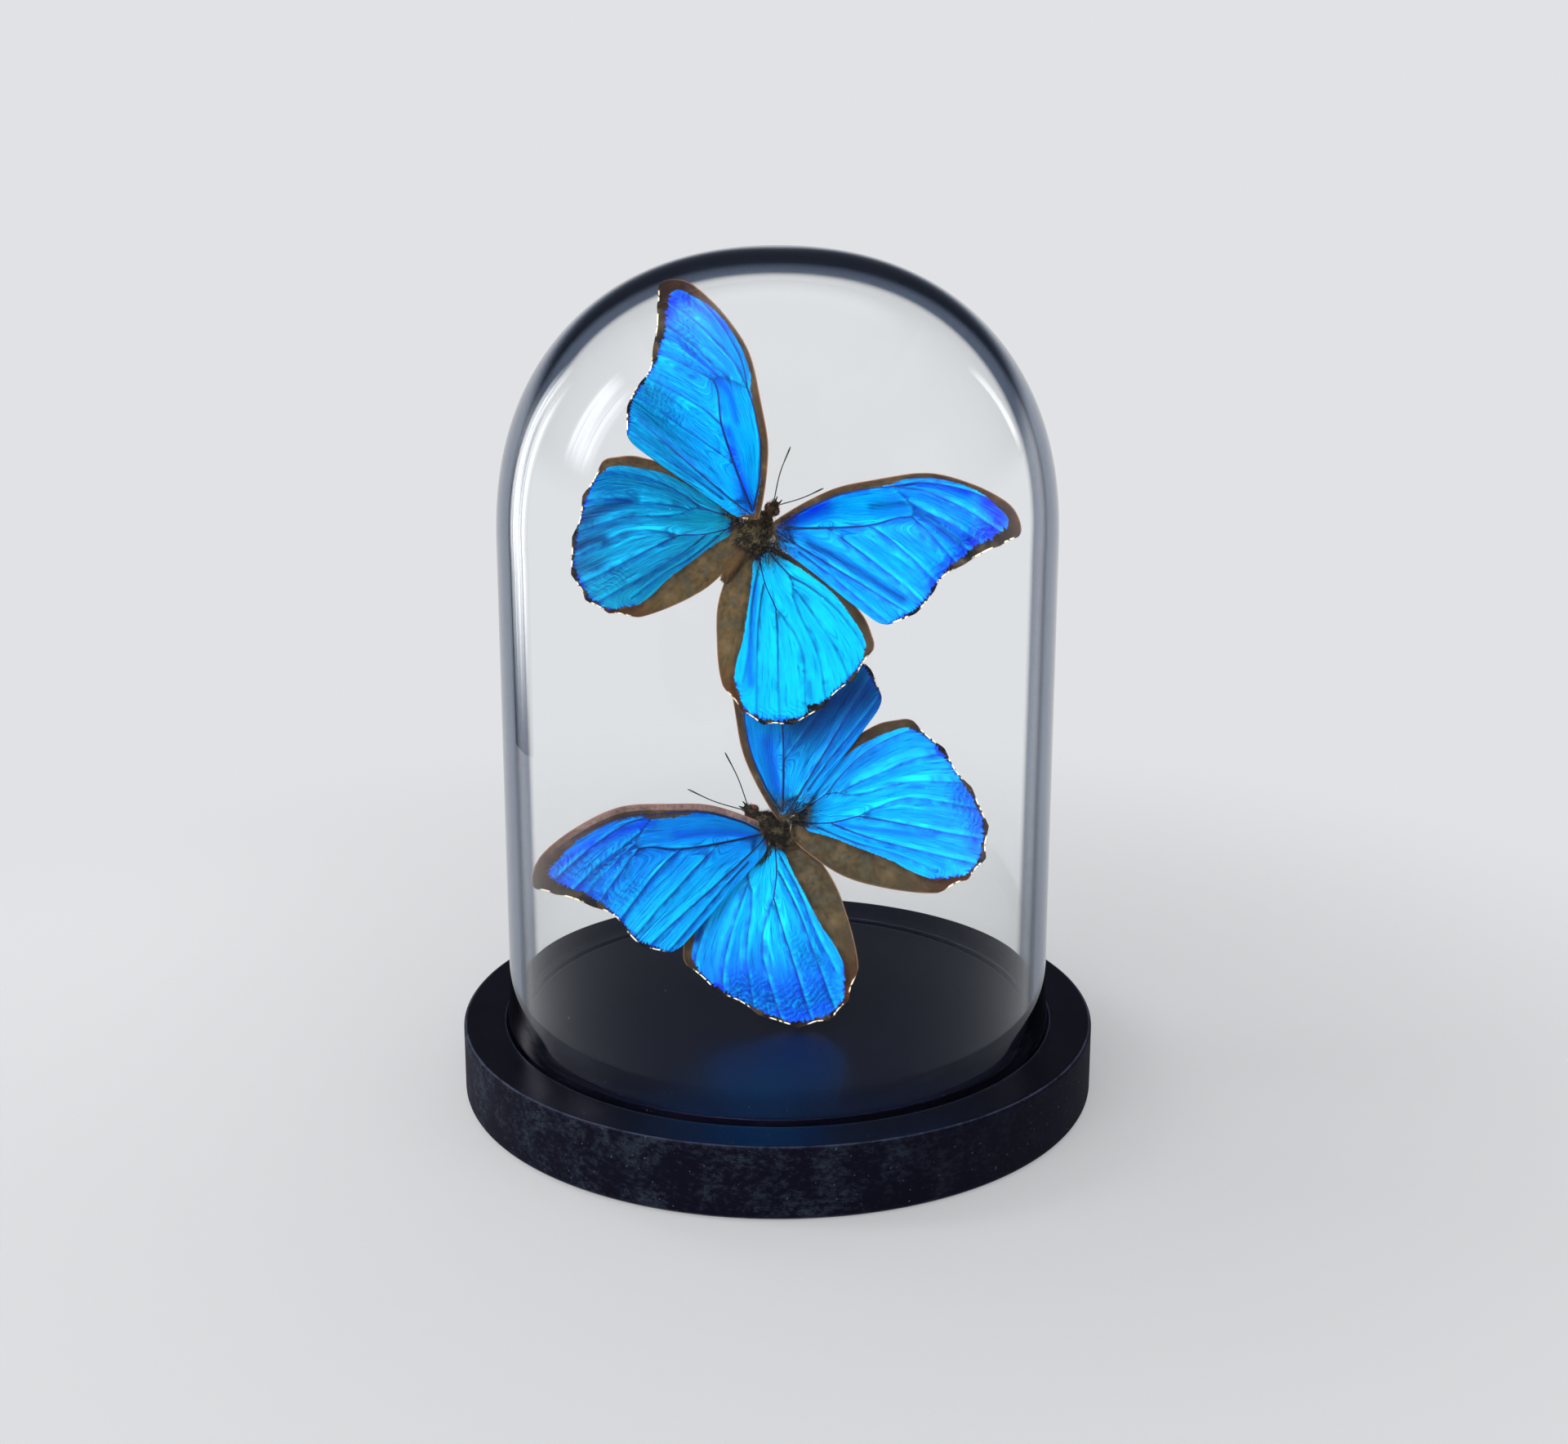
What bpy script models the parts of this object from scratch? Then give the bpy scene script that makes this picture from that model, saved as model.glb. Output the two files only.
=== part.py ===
"""Two blue morpho butterflies held on wires under a clear glass dome, on a round black base.

Metres, +Z up. The origin is the centre of the base's underside. The butterflies face -Y, the front.
"""

from math import cos, exp, pi, radians, sin

import bmesh
import bpy
from mathutils import Matrix, Vector

MM = 0.001

# Base
BASE_DIAMETER = 175 * MM
BASE_THICKNESS = 20 * MM
TOP_ARRIS = 0.8 * MM
BOTTOM_ARRIS = 2 * MM
GROOVE_DEPTH = 3 * MM
GROOVE_PLAY = 0.6 * MM  # each side of the glass foot
BASE_SEGMENTS = 56

# Dome
DOME_DIAMETER = 149 * MM
OVERALL_HEIGHT = 231 * MM
GLASS = 3 * MM
CROWN_START = 154.5 * MM  # height at which the straight wall ends
CROWN_SQUARENESS = 2.24  # 2 is an ellipse, more has squarer shoulders
CROWN_STEPS = 8
FOOT_BEAD = 0.8 * MM  # how far the fire-polished foot stands out from the wall
FOOT_BEAD_HEIGHT = 5 * MM
FOOT_BEAD_RISE = 0.5 * MM  # how far the bead's middle sits above the board
FOOT_BEAD_STEPS = (1.8, 1.0, 0.5, 0, -0.4)  # heights of its rings, in bead heights
DOME_SEGMENTS = 48

# Fit between neighbouring pieces
GAP = 0.3 * MM

# Wires
WIRE_DIAMETER = 1.2 * MM
WIRE_HOLE_DEPTH = 9 * MM
WIRE_POINTS = 15

# Butterflies
WING_SHEET = 0.5 * MM
FOREWING_SPAN = 63 * MM
HINDWING_SPAN = 50 * MM
BACK_LEAN = 15  # degrees that each back leans up from facing the front
ANTENNA_DIAMETER = 0.6 * MM
ANTENNA_CLUB = 1.7  # club's width, in shaft widths
ANTENNA_SOCKET = (0.67, 9.6, 1.3)  # right side: out, forward and up, in mm
ANTENNA_ARCH = (0.6, 0, 0.8)  # how far its middle bows out and up, in mm
LIMB_POINTS = 8
LEG_DIAMETER = 0.8 * MM

# Wing outlines in spans: (out along the wing, forward). Each starts at the front of the root, runs
# out along the costa to the tip, down the outer margin to the rear corner and back to the root.
FOREWING_OUTLINE = (
    (-0.03, -0.01), (0.21, 0.13), (0.42, 0.18), (0.63, 0.205), (0.81, 0.16), (0.95, 0.085),
    (1.0, 0.01), (0.995, -0.055), (0.9, -0.105), (0.71, -0.22), (0.62, -0.35), (0.48, -0.415),
    (0.35, -0.345), (0.17, -0.21), (0.0, -0.085),
)
HINDWING_OUTLINE = (
    (-0.02, 0.03), (0.21, 0.31), (0.41, 0.44), (0.54, 0.47), (0.63, 0.46), (0.76, 0.34),
    (0.87, 0.17), (0.97, -0.01), (0.98, -0.17), (0.94, -0.29), (0.84, -0.37), (0.7, -0.42),
    (0.43, -0.38), (0.19, -0.29), (-0.04, -0.09),
)
# name: outline, span, hub of the mesh, (first, last) point of the outer margin, scallops and their depth
WING_KINDS = {
    "forewing": (FOREWING_OUTLINE, FOREWING_SPAN, (0.5, -0.05), (7, 11), 5, 0.4 * MM),
    "hindwing": (HINDWING_OUTLINE, HINDWING_SPAN, (0.48, 0.0), (4, 11), 6, 0.9 * MM),
}
SAMPLES_PER_STRETCH = 3
WING_RINGS = (1.0, 0.5)

# Body, head to tail, in the butterfly's frame: (forward, up, half width, half height) in mm
BODY_SECTIONS = (
    (10.4, 0.1, 0.35, 0.35), (9.7, 0.2, 0.9, 0.8), (8.6, 0.4, 1.45, 1.35), (7.3, 0.5, 1.6, 1.6),
    (6.3, 0.3, 1.25, 1.35), (5.2, 0.0, 2.2, 2.2), (2.2, 0.0, 3.0, 3.1), (-1.6, 0.0, 3.0, 3.1),
    (-5.0, -0.3, 2.4, 2.6), (-7.2, -0.9, 1.4, 1.5), (-9.0, -1.7, 1.6, 1.6), (-11.2, -2.9, 1.6, 1.6),
    (-13.2, -4.2, 1.3, 1.3), (-14.8, -5.4, 0.7, 0.7),
)
BODY_SIDES = 10
EYE_PLACE = (1.35, 7.9, 0.5)
EYE_RADIUS = 0.95

# Legs in mm, right side: attachment, knee, ankle and foot, folded under the thorax
LEG_PATHS = {
    "mid": ((1.3, 2.1, -3.4), (3.2, 3.4, -5.6), (2.8, -0.4, -7.4), (3.1, -3.8, -8.4)),
    "hind": ((1.1, -0.4, -3.5), (1.5, -2.6, -6.2), (0.8, -6.0, -8.8), (1.0, -9.4, -10.0)),
}

# Each butterfly: place of its thorax and its size; heading turns its head clockwise from upright.
# Each wing: root in mm in the butterfly's frame (right, forward, up); sweep forward, lift and
# pitch in degrees; bow, cup and twist in mm, the sheet's rise at its tip, edge and corner.
BUTTERFLIES = {
    "upper": {
        "thorax": (-6 * MM, -10.5 * MM, 157.5 * MM),
        "heading": 35,
        "size": 1.0,
        "wings": {
            "forewing_left": ((-2.5, 5, 2.8), (34, 9, 18), (-0.5, -0.5, 0.5)),
            "forewing_right": ((3, 5.5, 1.5), (34, 14, -2), (-0.5, 1, -0.5)),
            "hindwing_left": ((-6.2, 0.2, -2.4), (-46, -17, 18), (1, -2.5, 2.5)),
            "hindwing_right": ((4, -2, -0.5), (-40, -17, 21), (0, 1, 0.5)),
        },
        "antenna_tips": {"left": (-4.8, 23, 12), "right": (8.2, 19.1, 12.2)},
    },
    "lower": {
        "thorax": (-0.5 * MM, 4 * MM, 71 * MM),
        "heading": -52,
        "size": 1.08,
        "wings": {
            "forewing_left": ((-1, 2.5, 1.2), (42, 27, 9), (-1, 0.5, 1)),
            "forewing_right": ((4, 2.5, 3.2), (37, 7, 3), (-0.5, -0.5, 0)),
            "hindwing_left": ((-2.5, 1, -0.7), (-42, 5, -5), (0.5, 1, -0.5)),
            "hindwing_right": ((6.5, -2, 2), (-49, 3, -3), (0.5, 0.5, 0)),
        },
        "antenna_tips": {"left": (-5.5, 26.4, 7.3), "right": (9, 24.5, 14.2)},
    },
}
BOW_SPAN = 60 * MM
CUP_CHORD = 25 * MM

# Wires in mm, from the base's top upwards; the last point is just behind the thorax
WIRE_PATHS = {
    "upper": (
        (1, 19, 20), (1, 19, 60), (1, 19, 105), (0, 18, 134), (-2, 12, 149), (-4.6, 1, 154.6),
        (-6, -7.2, 156.7),
    ),
    "lower": ((3.2, 14.5, 20), (3.2, 14.5, 40), (3.2, 14, 57), (2, 12, 66), (-0.4, 7.6, 70)),
}


def clear_scene():
    for thing in list(bpy.data.objects):
        bpy.data.objects.remove(thing, do_unlink=True)


def finish(name, colour, roughness, metallic=0.0, transmission=0.0):
    material = bpy.data.materials.new(name)
    material.use_nodes = True
    shader = material.node_tree.nodes["Principled BSDF"]
    shader.inputs["Base Color"].default_value = (*colour, 1)
    shader.inputs["Roughness"].default_value = roughness
    shader.inputs["Metallic"].default_value = metallic
    shader.inputs["Transmission Weight"].default_value = transmission
    return material


def add_object(name, mesh, material, parent=None):
    thing = bpy.data.objects.new(name, mesh)
    bpy.context.scene.collection.objects.link(thing)
    if material:
        mesh.materials.append(material)
    if parent:
        thing.parent = parent
    return thing


def mesh_from(name, shape, smooth_angle=40):
    """Turns a bmesh into a mesh, shaded smooth except across edges sharper than smooth_angle."""
    bmesh.ops.recalc_face_normals(shape, faces=shape.faces)
    mesh = bpy.data.meshes.new(name)
    shape.to_mesh(mesh)
    shape.free()
    mesh.shade_smooth()
    mesh.set_sharp_from_angle(angle=radians(smooth_angle))
    return mesh


def make_cutter(thing):
    thing.hide_render = True
    thing.display_type = "WIRE"


def add_boolean(thing, other, operation):
    cut = thing.modifiers.new(f"{operation.lower()}_{other.name}", "BOOLEAN")
    cut.operation = operation
    cut.object = other
    cut.solver = "EXACT"


def turned(name, profile, segments, material):
    """A turned solid. The profile runs from the axis out, down its outer side and back to the axis."""
    mesh = bpy.data.meshes.new(name)
    points = [(radius, 0, height) for radius, height in profile]
    mesh.from_pydata(points, [(i, i + 1) for i in range(len(points) - 1)], [])
    thing = add_object(name, mesh, material)
    screw = thing.modifiers.new("turn", "SCREW")
    screw.steps = segments
    screw.render_steps = segments
    screw.use_merge_vertices = True
    screw.merge_threshold = 0.00001
    screw.use_smooth_shade = True
    return thing


def arc(centre, radius, start, end, steps):
    """Points of a circle in the profile plane, from start to end degrees."""
    angles = [radians(start + (end - start) * i / steps) for i in range(steps + 1)]
    return [(centre[0] + radius * cos(a), centre[1] + radius * sin(a)) for a in angles]


def make_base(material):
    edge = BASE_DIAMETER / 2
    glass_outer = DOME_DIAMETER / 2
    groove_inner = glass_outer - GLASS - GROOVE_PLAY
    groove_outer = glass_outer + FOOT_BEAD + GROOVE_PLAY
    floor = BASE_THICKNESS - GROOVE_DEPTH
    profile = [(0, BASE_THICKNESS), (groove_inner, BASE_THICKNESS), (groove_inner, floor)]
    profile += [(groove_outer, floor), (groove_outer, BASE_THICKNESS)]
    profile += arc((edge - TOP_ARRIS, BASE_THICKNESS - TOP_ARRIS), TOP_ARRIS, 90, 0, 2)
    profile += arc((edge - BOTTOM_ARRIS, BOTTOM_ARRIS), BOTTOM_ARRIS, 0, -90, 3)
    profile.append((0, 0))
    base = turned("base_board", profile, BASE_SEGMENTS, material)
    for name, path in WIRE_PATHS.items():
        add_boolean(base, wire_hole(name, path[0]), "DIFFERENCE")
    return base


def wire_hole(name, foot):
    shape = bmesh.new()
    height = 2 * WIRE_HOLE_DEPTH
    radius = WIRE_DIAMETER / 2 + GAP
    place = Matrix.Translation((foot[0] * MM, foot[1] * MM, BASE_THICKNESS))
    bmesh.ops.create_cone(
        shape, cap_ends=True, segments=12, radius1=radius, radius2=radius, depth=height, matrix=place
    )
    hole = add_object(f"hole_{name}", mesh_from(f"hole_{name}", shape), None)
    make_cutter(hole)
    return hole


def crown(radius, height, steps):
    """Points of the crown from its top down to the straight wall, along a superellipse."""
    power = 2 / CROWN_SQUARENESS
    angles = [pi / 2 * i / steps for i in range(steps + 1)]
    return [(radius * sin(a) ** power, CROWN_START + height * max(cos(a), 0) ** power) for a in angles]


def make_dome(material):
    outer = DOME_DIAMETER / 2
    inner = outer - GLASS
    foot = BASE_THICKNESS - GROOVE_DEPTH + GAP
    bead_middle = BASE_THICKNESS + FOOT_BEAD_RISE
    profile = crown(outer, OVERALL_HEIGHT - CROWN_START, CROWN_STEPS)
    for step in FOOT_BEAD_STEPS:
        swell = FOOT_BEAD * exp(-(step**2))
        profile.append((outer + swell, bead_middle + step * FOOT_BEAD_HEIGHT))
    rounding = GLASS / 2
    profile += arc((outer - rounding, foot + rounding), rounding, -20, -160, 4)
    profile += reversed(crown(inner, OVERALL_HEIGHT - GLASS - CROWN_START, CROWN_STEPS))
    return turned("glass_dome", profile, DOME_SEGMENTS, material)


def smooth_path(points, samples):
    """Catmull-Rom curve through 3-D points, read at evenly spaced parameters."""
    points = [Vector(p) for p in points]
    ends = [2 * points[0] - points[1]] + points + [2 * points[-1] - points[-2]]
    path = []
    for i in range(samples):
        t = i / (samples - 1) * (len(points) - 1)
        k = min(int(t), len(points) - 2)
        path.append(catmull_rom(*ends[k : k + 4], t - k))
    return path


def catmull_rom(a, b, c, d, t):
    return 0.5 * (
        2 * b + (c - a) * t + (2 * a - 5 * b + 4 * c - d) * t * t + (3 * b - a - 3 * c + d) * t**3
    )


def add_tube(name, path, diameter, material, parent=None, swell=None):
    """A round rod along the path. swell gives each point's width, in diameters."""
    curve = bpy.data.curves.new(name, "CURVE")
    curve.dimensions = "3D"
    curve.bevel_depth = diameter / 2
    curve.bevel_resolution = 1
    curve.use_fill_caps = True
    spline = curve.splines.new("POLY")
    spline.points.add(len(path) - 1)
    for i, point in enumerate(path):
        spline.points[i].co = (*point, 1)
        spline.points[i].radius = swell(i / (len(path) - 1)) if swell else 1
    return add_object(name, curve, material, parent)


def make_wires(material):
    for name, path in WIRE_PATHS.items():
        foot = Vector(path[0]) * MM - Vector((0, 0, WIRE_HOLE_DEPTH - GAP))
        run = smooth_path([Vector(p) * MM for p in path], WIRE_POINTS)
        add_tube(f"support_wire_{name}", [foot] + run, WIRE_DIAMETER, material)


def outline_points(kind, size):
    """The wing's flat outline in metres, closed, with its scalloped outer margin."""
    outline, span, _, (first, last), scallops, depth = WING_KINDS[kind]
    points = [Vector(p) * span * size for p in outline]
    count = len(points)
    around = []
    for k in range(count):
        near = [points[(k + offset) % count] for offset in (-1, 0, 1, 2)]
        steps = 1 if k == count - 1 else SAMPLES_PER_STRETCH
        for step in range(steps):
            t = step / steps
            place = catmull_rom(*near, t)
            along = (k + t - first) / (last - first)
            if 0 < along < 1:
                ahead = (near[2] - near[0]).normalized()
                inward = Vector((ahead.y, -ahead.x))
                place += inward * depth * size * abs(sin(pi * scallops * along))
            around.append(place)
    return around


def sheet_rise(out, forward, curl):
    """How far the wing's sheet rises off its flat, from its bow, cup and twist."""
    bow, cup, twist = (value * MM for value in curl)
    along, across = out / BOW_SPAN, forward / CUP_CHORD
    return bow * along**2 + cup * across**2 + twist * along * across


def add_wing(name, kind, side, size, placing, material, parent, thorax_space):
    root, (sweep, lift, pitch), curl = placing
    around = outline_points(kind, size)
    hub = Vector(WING_KINDS[kind][2]) * WING_KINDS[kind][1] * size
    shape = bmesh.new()

    def point(place):
        return shape.verts.new((side * place.x, place.y, sheet_rise(place.x, place.y, curl)))

    rings = [[point(hub.lerp(place, ring)) for place in around] for ring in WING_RINGS]
    middle = point(hub)
    for i in range(len(around)):
        j = (i + 1) % len(around)
        for outer, inner in zip(rings, rings[1:]):
            shape.faces.new((outer[i], outer[j], inner[j], inner[i]))
        shape.faces.new((rings[-1][i], rings[-1][j], middle))
    wing = add_object(name, mesh_from(name, shape, 80), material, parent)
    turn = Matrix.Rotation(radians(side * sweep), 4, "Z") @ Matrix.Rotation(radians(-side * lift), 4, "Y")
    wing.matrix_local = (
        Matrix.Translation(Vector(root) * MM) @ turn @ Matrix.Rotation(radians(pitch), 4, "X")
    )
    sheet = wing.modifiers.new("sheet", "SOLIDIFY")
    sheet.thickness = WING_SHEET
    sheet.offset = 0
    add_boolean(wing, thorax_space, "DIFFERENCE")


def body_mesh(name, size, allowance=0.0):
    """The body as rings of points from head to tail, grown outwards by the allowance."""
    shape = bmesh.new()
    rings = []
    for forward, up, half_width, half_height in BODY_SECTIONS:
        wide = half_width * MM * size + allowance
        high = half_height * MM * size + allowance
        angles = [2 * pi * i / BODY_SIDES for i in range(BODY_SIDES)]
        rings.append([
            shape.verts.new((wide * cos(a), forward * MM * size, up * MM * size + high * sin(a)))
            for a in angles
        ])
    for front, back in zip(rings, rings[1:]):
        for i in range(BODY_SIDES):
            j = (i + 1) % BODY_SIDES
            shape.faces.new((front[i], front[j], back[j], back[i]))
    shape.faces.new(rings[0])
    shape.faces.new(rings[-1])
    return mesh_from(name, shape, 60)


def mirrored(place, side):
    """A place given for the right side (side 1), or the same on the left (side -1)."""
    return Vector((side * place[0], place[1], place[2]))


def add_eye(name, side, size, parent):
    shape = bmesh.new()
    place = mirrored(EYE_PLACE, side) * MM * size
    bmesh.ops.create_uvsphere(
        shape, u_segments=10, v_segments=7, radius=EYE_RADIUS * MM * size, matrix=Matrix.Translation(place)
    )
    eye = add_object(name, mesh_from(name, shape), None, parent)
    make_cutter(eye)
    return eye


def add_body(prefix, size, materials, parent):
    body = add_object(f"{prefix}_body", body_mesh(f"{prefix}_body", size), materials["body"], parent)
    for name, side in (("left", -1), ("right", 1)):
        add_boolean(body, add_eye(f"{prefix}_eye_{name}", side, size, parent), "UNION")
    space_name = f"{prefix}_thorax_space"
    space = add_object(space_name, body_mesh(space_name, size, GAP), None, parent)
    make_cutter(space)
    return space


def add_antenna(name, side, size, tip, material, parent):
    base = mirrored(ANTENNA_SOCKET, side) * MM * size
    tip = Vector(tip) * MM
    middle = base.lerp(tip, 0.5) + mirrored(ANTENNA_ARCH, side) * MM
    path = smooth_path([base, middle, tip], LIMB_POINTS)

    def club(along):
        return 1 + (ANTENNA_CLUB - 1) * max(0, (along - 0.7) / 0.3)

    add_tube(name, path, ANTENNA_DIAMETER, material, parent, club)


def add_leg(name, side, size, path, material, parent):
    points = [mirrored(point, side) * MM * size for point in path]
    add_tube(name, smooth_path(points, LIMB_POINTS), LEG_DIAMETER, material, parent)


def make_butterfly(prefix, plan, materials):
    centre = bpy.data.objects.new(f"{prefix}_butterfly", None)
    bpy.context.scene.collection.objects.link(centre)
    centre.matrix_world = (
        Matrix.Translation(plan["thorax"])
        @ Matrix.Rotation(radians(90 - BACK_LEAN), 4, "X")
        @ Matrix.Rotation(radians(-plan["heading"]), 4, "Z")
    )
    size = plan["size"]
    thorax_space = add_body(prefix, size, materials, centre)
    for wing, placing in plan["wings"].items():
        kind, hand = wing.split("_")
        side = -1 if hand == "left" else 1
        add_wing(f"{prefix}_{wing}", kind, side, size, placing, materials[kind], centre, thorax_space)
    for hand, side in (("left", -1), ("right", 1)):
        tip = plan["antenna_tips"][hand]
        add_antenna(f"{prefix}_antenna_{hand}", side, size, tip, materials["antenna"], centre)
        for pair, path in LEG_PATHS.items():
            add_leg(f"{prefix}_leg_{pair}_{hand}", side, size, path, materials["leg"], centre)


def main():
    clear_scene()
    make_base(finish("black_satin_paint", (0.006, 0.008, 0.013), 0.28))
    make_dome(finish("clear_glass", (1, 1, 1), 0.0, transmission=1.0))
    make_wires(finish("steel_wire", (0.35, 0.35, 0.36), 0.3, metallic=1.0))
    materials = {
        "body": finish("body_fur", (0.06, 0.045, 0.025), 0.9),
        "forewing": finish("forewing_blue", (0.0, 0.25, 0.9), 0.35, metallic=0.5),
        "hindwing": finish("hindwing_blue", (0.0, 0.35, 0.95), 0.35, metallic=0.5),
        "antenna": finish("antenna_brown", (0.02, 0.015, 0.01), 0.6),
        "leg": finish("leg_brown", (0.05, 0.035, 0.02), 0.7),
    }
    for prefix, plan in BUTTERFLIES.items():
        make_butterfly(prefix, plan, materials)


main()
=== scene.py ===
"""Looks for two blue morpho butterflies under a glass dome on a round black board.

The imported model's frame, in metres: +Z up, the butterflies face -Y. Measures in the tables are in
millimetres unless they say otherwise. A wing's places are in wing spans: (out from the root, forward).
"""

from functools import cache
from math import cos, exp, pi, radians, sin

import bmesh
import bpy
import numpy as np
from mathutils import Matrix, Vector, noise


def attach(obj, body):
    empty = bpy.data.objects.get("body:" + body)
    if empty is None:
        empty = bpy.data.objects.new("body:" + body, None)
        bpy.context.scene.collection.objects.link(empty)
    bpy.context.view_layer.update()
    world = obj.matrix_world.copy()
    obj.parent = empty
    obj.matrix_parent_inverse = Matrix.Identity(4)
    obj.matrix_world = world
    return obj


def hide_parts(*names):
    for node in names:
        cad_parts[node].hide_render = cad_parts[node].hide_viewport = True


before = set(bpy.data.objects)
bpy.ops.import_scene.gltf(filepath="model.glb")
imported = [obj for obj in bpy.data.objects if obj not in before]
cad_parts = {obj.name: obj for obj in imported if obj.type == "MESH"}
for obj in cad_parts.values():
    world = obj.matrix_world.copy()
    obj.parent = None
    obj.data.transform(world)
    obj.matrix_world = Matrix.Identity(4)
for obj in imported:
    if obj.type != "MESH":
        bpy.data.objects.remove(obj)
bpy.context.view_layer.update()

MM = 0.001

# Board
BOARD_RADIUS = 87.5
BOARD_THICKNESS = 20
TOP_ARRIS = 0.8
BOTTOM_ARRIS = 2
GROOVE_DEPTH = 3
GROOVE_PLAY = 0.6
GROOVE_LIP = 0.25
ARRIS_MARGIN = 0.75  # flat that is kept beside a rounded edge, so that it shades cleanly
WIRE_HOLE_RADIUS = 0.9
WIRE_HOLE_DEPTH = 9

# Dome
DOME_RADIUS = 74.5
OVERALL_HEIGHT = 231
GLASS = 3
CROWN_START = 154.5
CROWN_SQUARENESS = 2.24
CROWN_RINGS = 64
FOOT_BEAD = 0.8
FOOT_BEAD_HEIGHT = 5
FOOT_BEAD_RISE = 0.5
FOOT_BEAD_REACH = (2.6, -0.4)  # from its middle up and down, in bead heights
FOOT_BEAD_RINGS = 22
GAP = 0.3
TURNED_SEGMENTS = 256
WALL_RINGS = (150, 140, 130, 120, 110, 100, 90, 80, 70, 60, 50, 42, 37)  # heights down the straight wall

# Wings
FOREWING_OUTLINE = (
    (-0.03, -0.01), (0.21, 0.13), (0.42, 0.18), (0.63, 0.205), (0.81, 0.16), (0.95, 0.085),
    (1.0, 0.01), (0.995, -0.055), (0.9, -0.105), (0.71, -0.22), (0.62, -0.35), (0.48, -0.415),
    (0.35, -0.345), (0.17, -0.21), (0.0, -0.085),
)
HINDWING_OUTLINE = (
    (-0.02, 0.03), (0.21, 0.31), (0.41, 0.44), (0.54, 0.47), (0.63, 0.46), (0.76, 0.34),
    (0.87, 0.17), (0.97, -0.01), (0.98, -0.17), (0.94, -0.29), (0.84, -0.37), (0.7, -0.42),
    (0.43, -0.38), (0.19, -0.29), (-0.04, -0.09),
)
# Veins: order from the front of the wing, width at the root, width at the end, and the path
FOREWING_VEINS = (
    (5, 0.5, 0.36, ((0.01, -0.02), (0.22, -0.02), (0.39, -0.01), (0.51, 0.02), (0.57, 0.025))),
    (0, 0.5, 0.36, ((0.02, -0.01), (0.12, 0.055), (0.26, 0.115), (0.38, 0.14), (0.49, 0.15))),
    (None, 0.2, 0.2, ((0.57, 0.025), (0.575, 0.05), (0.55, 0.09), (0.51, 0.13), (0.495, 0.15))),
    (6, 0.26, 0.2, ((0.22, -0.02), (0.32, -0.09), (0.43, -0.17), (0.53, -0.245), (0.62, -0.32))),
    (5, 0.26, 0.2, ((0.39, -0.01), (0.48, -0.065), (0.58, -0.15), (0.70, -0.265))),
    (4, 0.26, 0.2, ((0.57, 0.025), (0.64, -0.04), (0.70, -0.10), (0.77, -0.185))),
    (3, 0.24, 0.2, ((0.575, 0.05), (0.655, 0.0), (0.73, -0.055), (0.83, -0.14))),
    (2, 0.24, 0.2, ((0.55, 0.09), (0.65, 0.035), (0.74, -0.01), (0.88, -0.105))),
    (1, 0.26, 0.2, ((0.495, 0.15), (0.62, 0.13), (0.74, 0.08), (0.83, 0.03), (0.96, -0.06))),
    (0, 0.36, 0.24, ((0.49, 0.15), (0.61, 0.165), (0.74, 0.145), (0.85, 0.11), (0.98, 0.045))),
    (7, 0.44, 0.24, ((0.0, -0.03), (0.09, -0.09), (0.27, -0.195), (0.40, -0.27), (0.57, -0.37))),
    (8, 0.26, 0.2, ((0.10, -0.12), (0.23, -0.21), (0.32, -0.28), (0.40, -0.34), (0.48, -0.40))),
)
HINDWING_VEINS = (
    (0, 0.44, 0.34, ((0.0, 0.02), (0.08, 0.06), (0.16, 0.11))),
    (None, 0.24, 0.2, ((0.16, 0.11), (0.22, 0.115), (0.27, 0.10))),
    (0, 0.3, 0.2, ((0.16, 0.11), (0.24, 0.20), (0.34, 0.29), (0.45, 0.355), (0.60, 0.41), (0.70, 0.41))),
    (1, 0.2, 0.2, ((0.24, 0.12), (0.33, 0.16), (0.46, 0.21), (0.62, 0.265), (0.80, 0.29))),
    (2, 0.2, 0.2, ((0.27, 0.10), (0.38, 0.11), (0.60, 0.15), (0.89, 0.13))),
    (3, 0.2, 0.2, ((0.32, -0.01), (0.42, 0.03), (0.52, 0.06), (0.66, 0.06), (0.96, -0.01))),
    (4, 0.44, 0.34, ((0.0, -0.03), (0.08, -0.035), (0.19, -0.035), (0.32, -0.01))),
    (5, 0.3, 0.2, ((0.18, -0.04), (0.29, -0.09), (0.42, -0.14), (0.62, -0.20), (0.93, -0.29))),
    (4, 0.3, 0.2, ((0.32, -0.01), (0.46, -0.04), (0.62, -0.08), (0.78, -0.12), (0.98, -0.165))),
    (6, 0.26, 0.18, ((0.03, -0.02), (0.29, -0.14), (0.51, -0.215), (0.70, -0.30))),
)
# Folds of the sheet: depth, half width and the path
FOREWING_FOLDS = (
    (0.5, 1.1, ((0.03, -0.01), (0.24, 0.01), (0.43, 0.03), (0.55, 0.035))),
    (0.5, 1.1, ((0.37, 0.06), (0.47, 0.07), (0.57, 0.07), (0.65, 0.01), (0.73, -0.05), (0.80, -0.11))),
    (0.45, 1.6, ((0.12, -0.075), (0.27, -0.15), (0.40, -0.235), (0.56, -0.335))),
)
HINDWING_FOLDS = (
    (0.3, 1.2, ((0.23, 0.04), (0.39, 0.07), (0.55, 0.085), (0.72, 0.10), (0.9, 0.10))),
    (0.3, 1.1, ((0.58, -0.03), (0.71, -0.05), (0.94, -0.09))),
)
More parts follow.
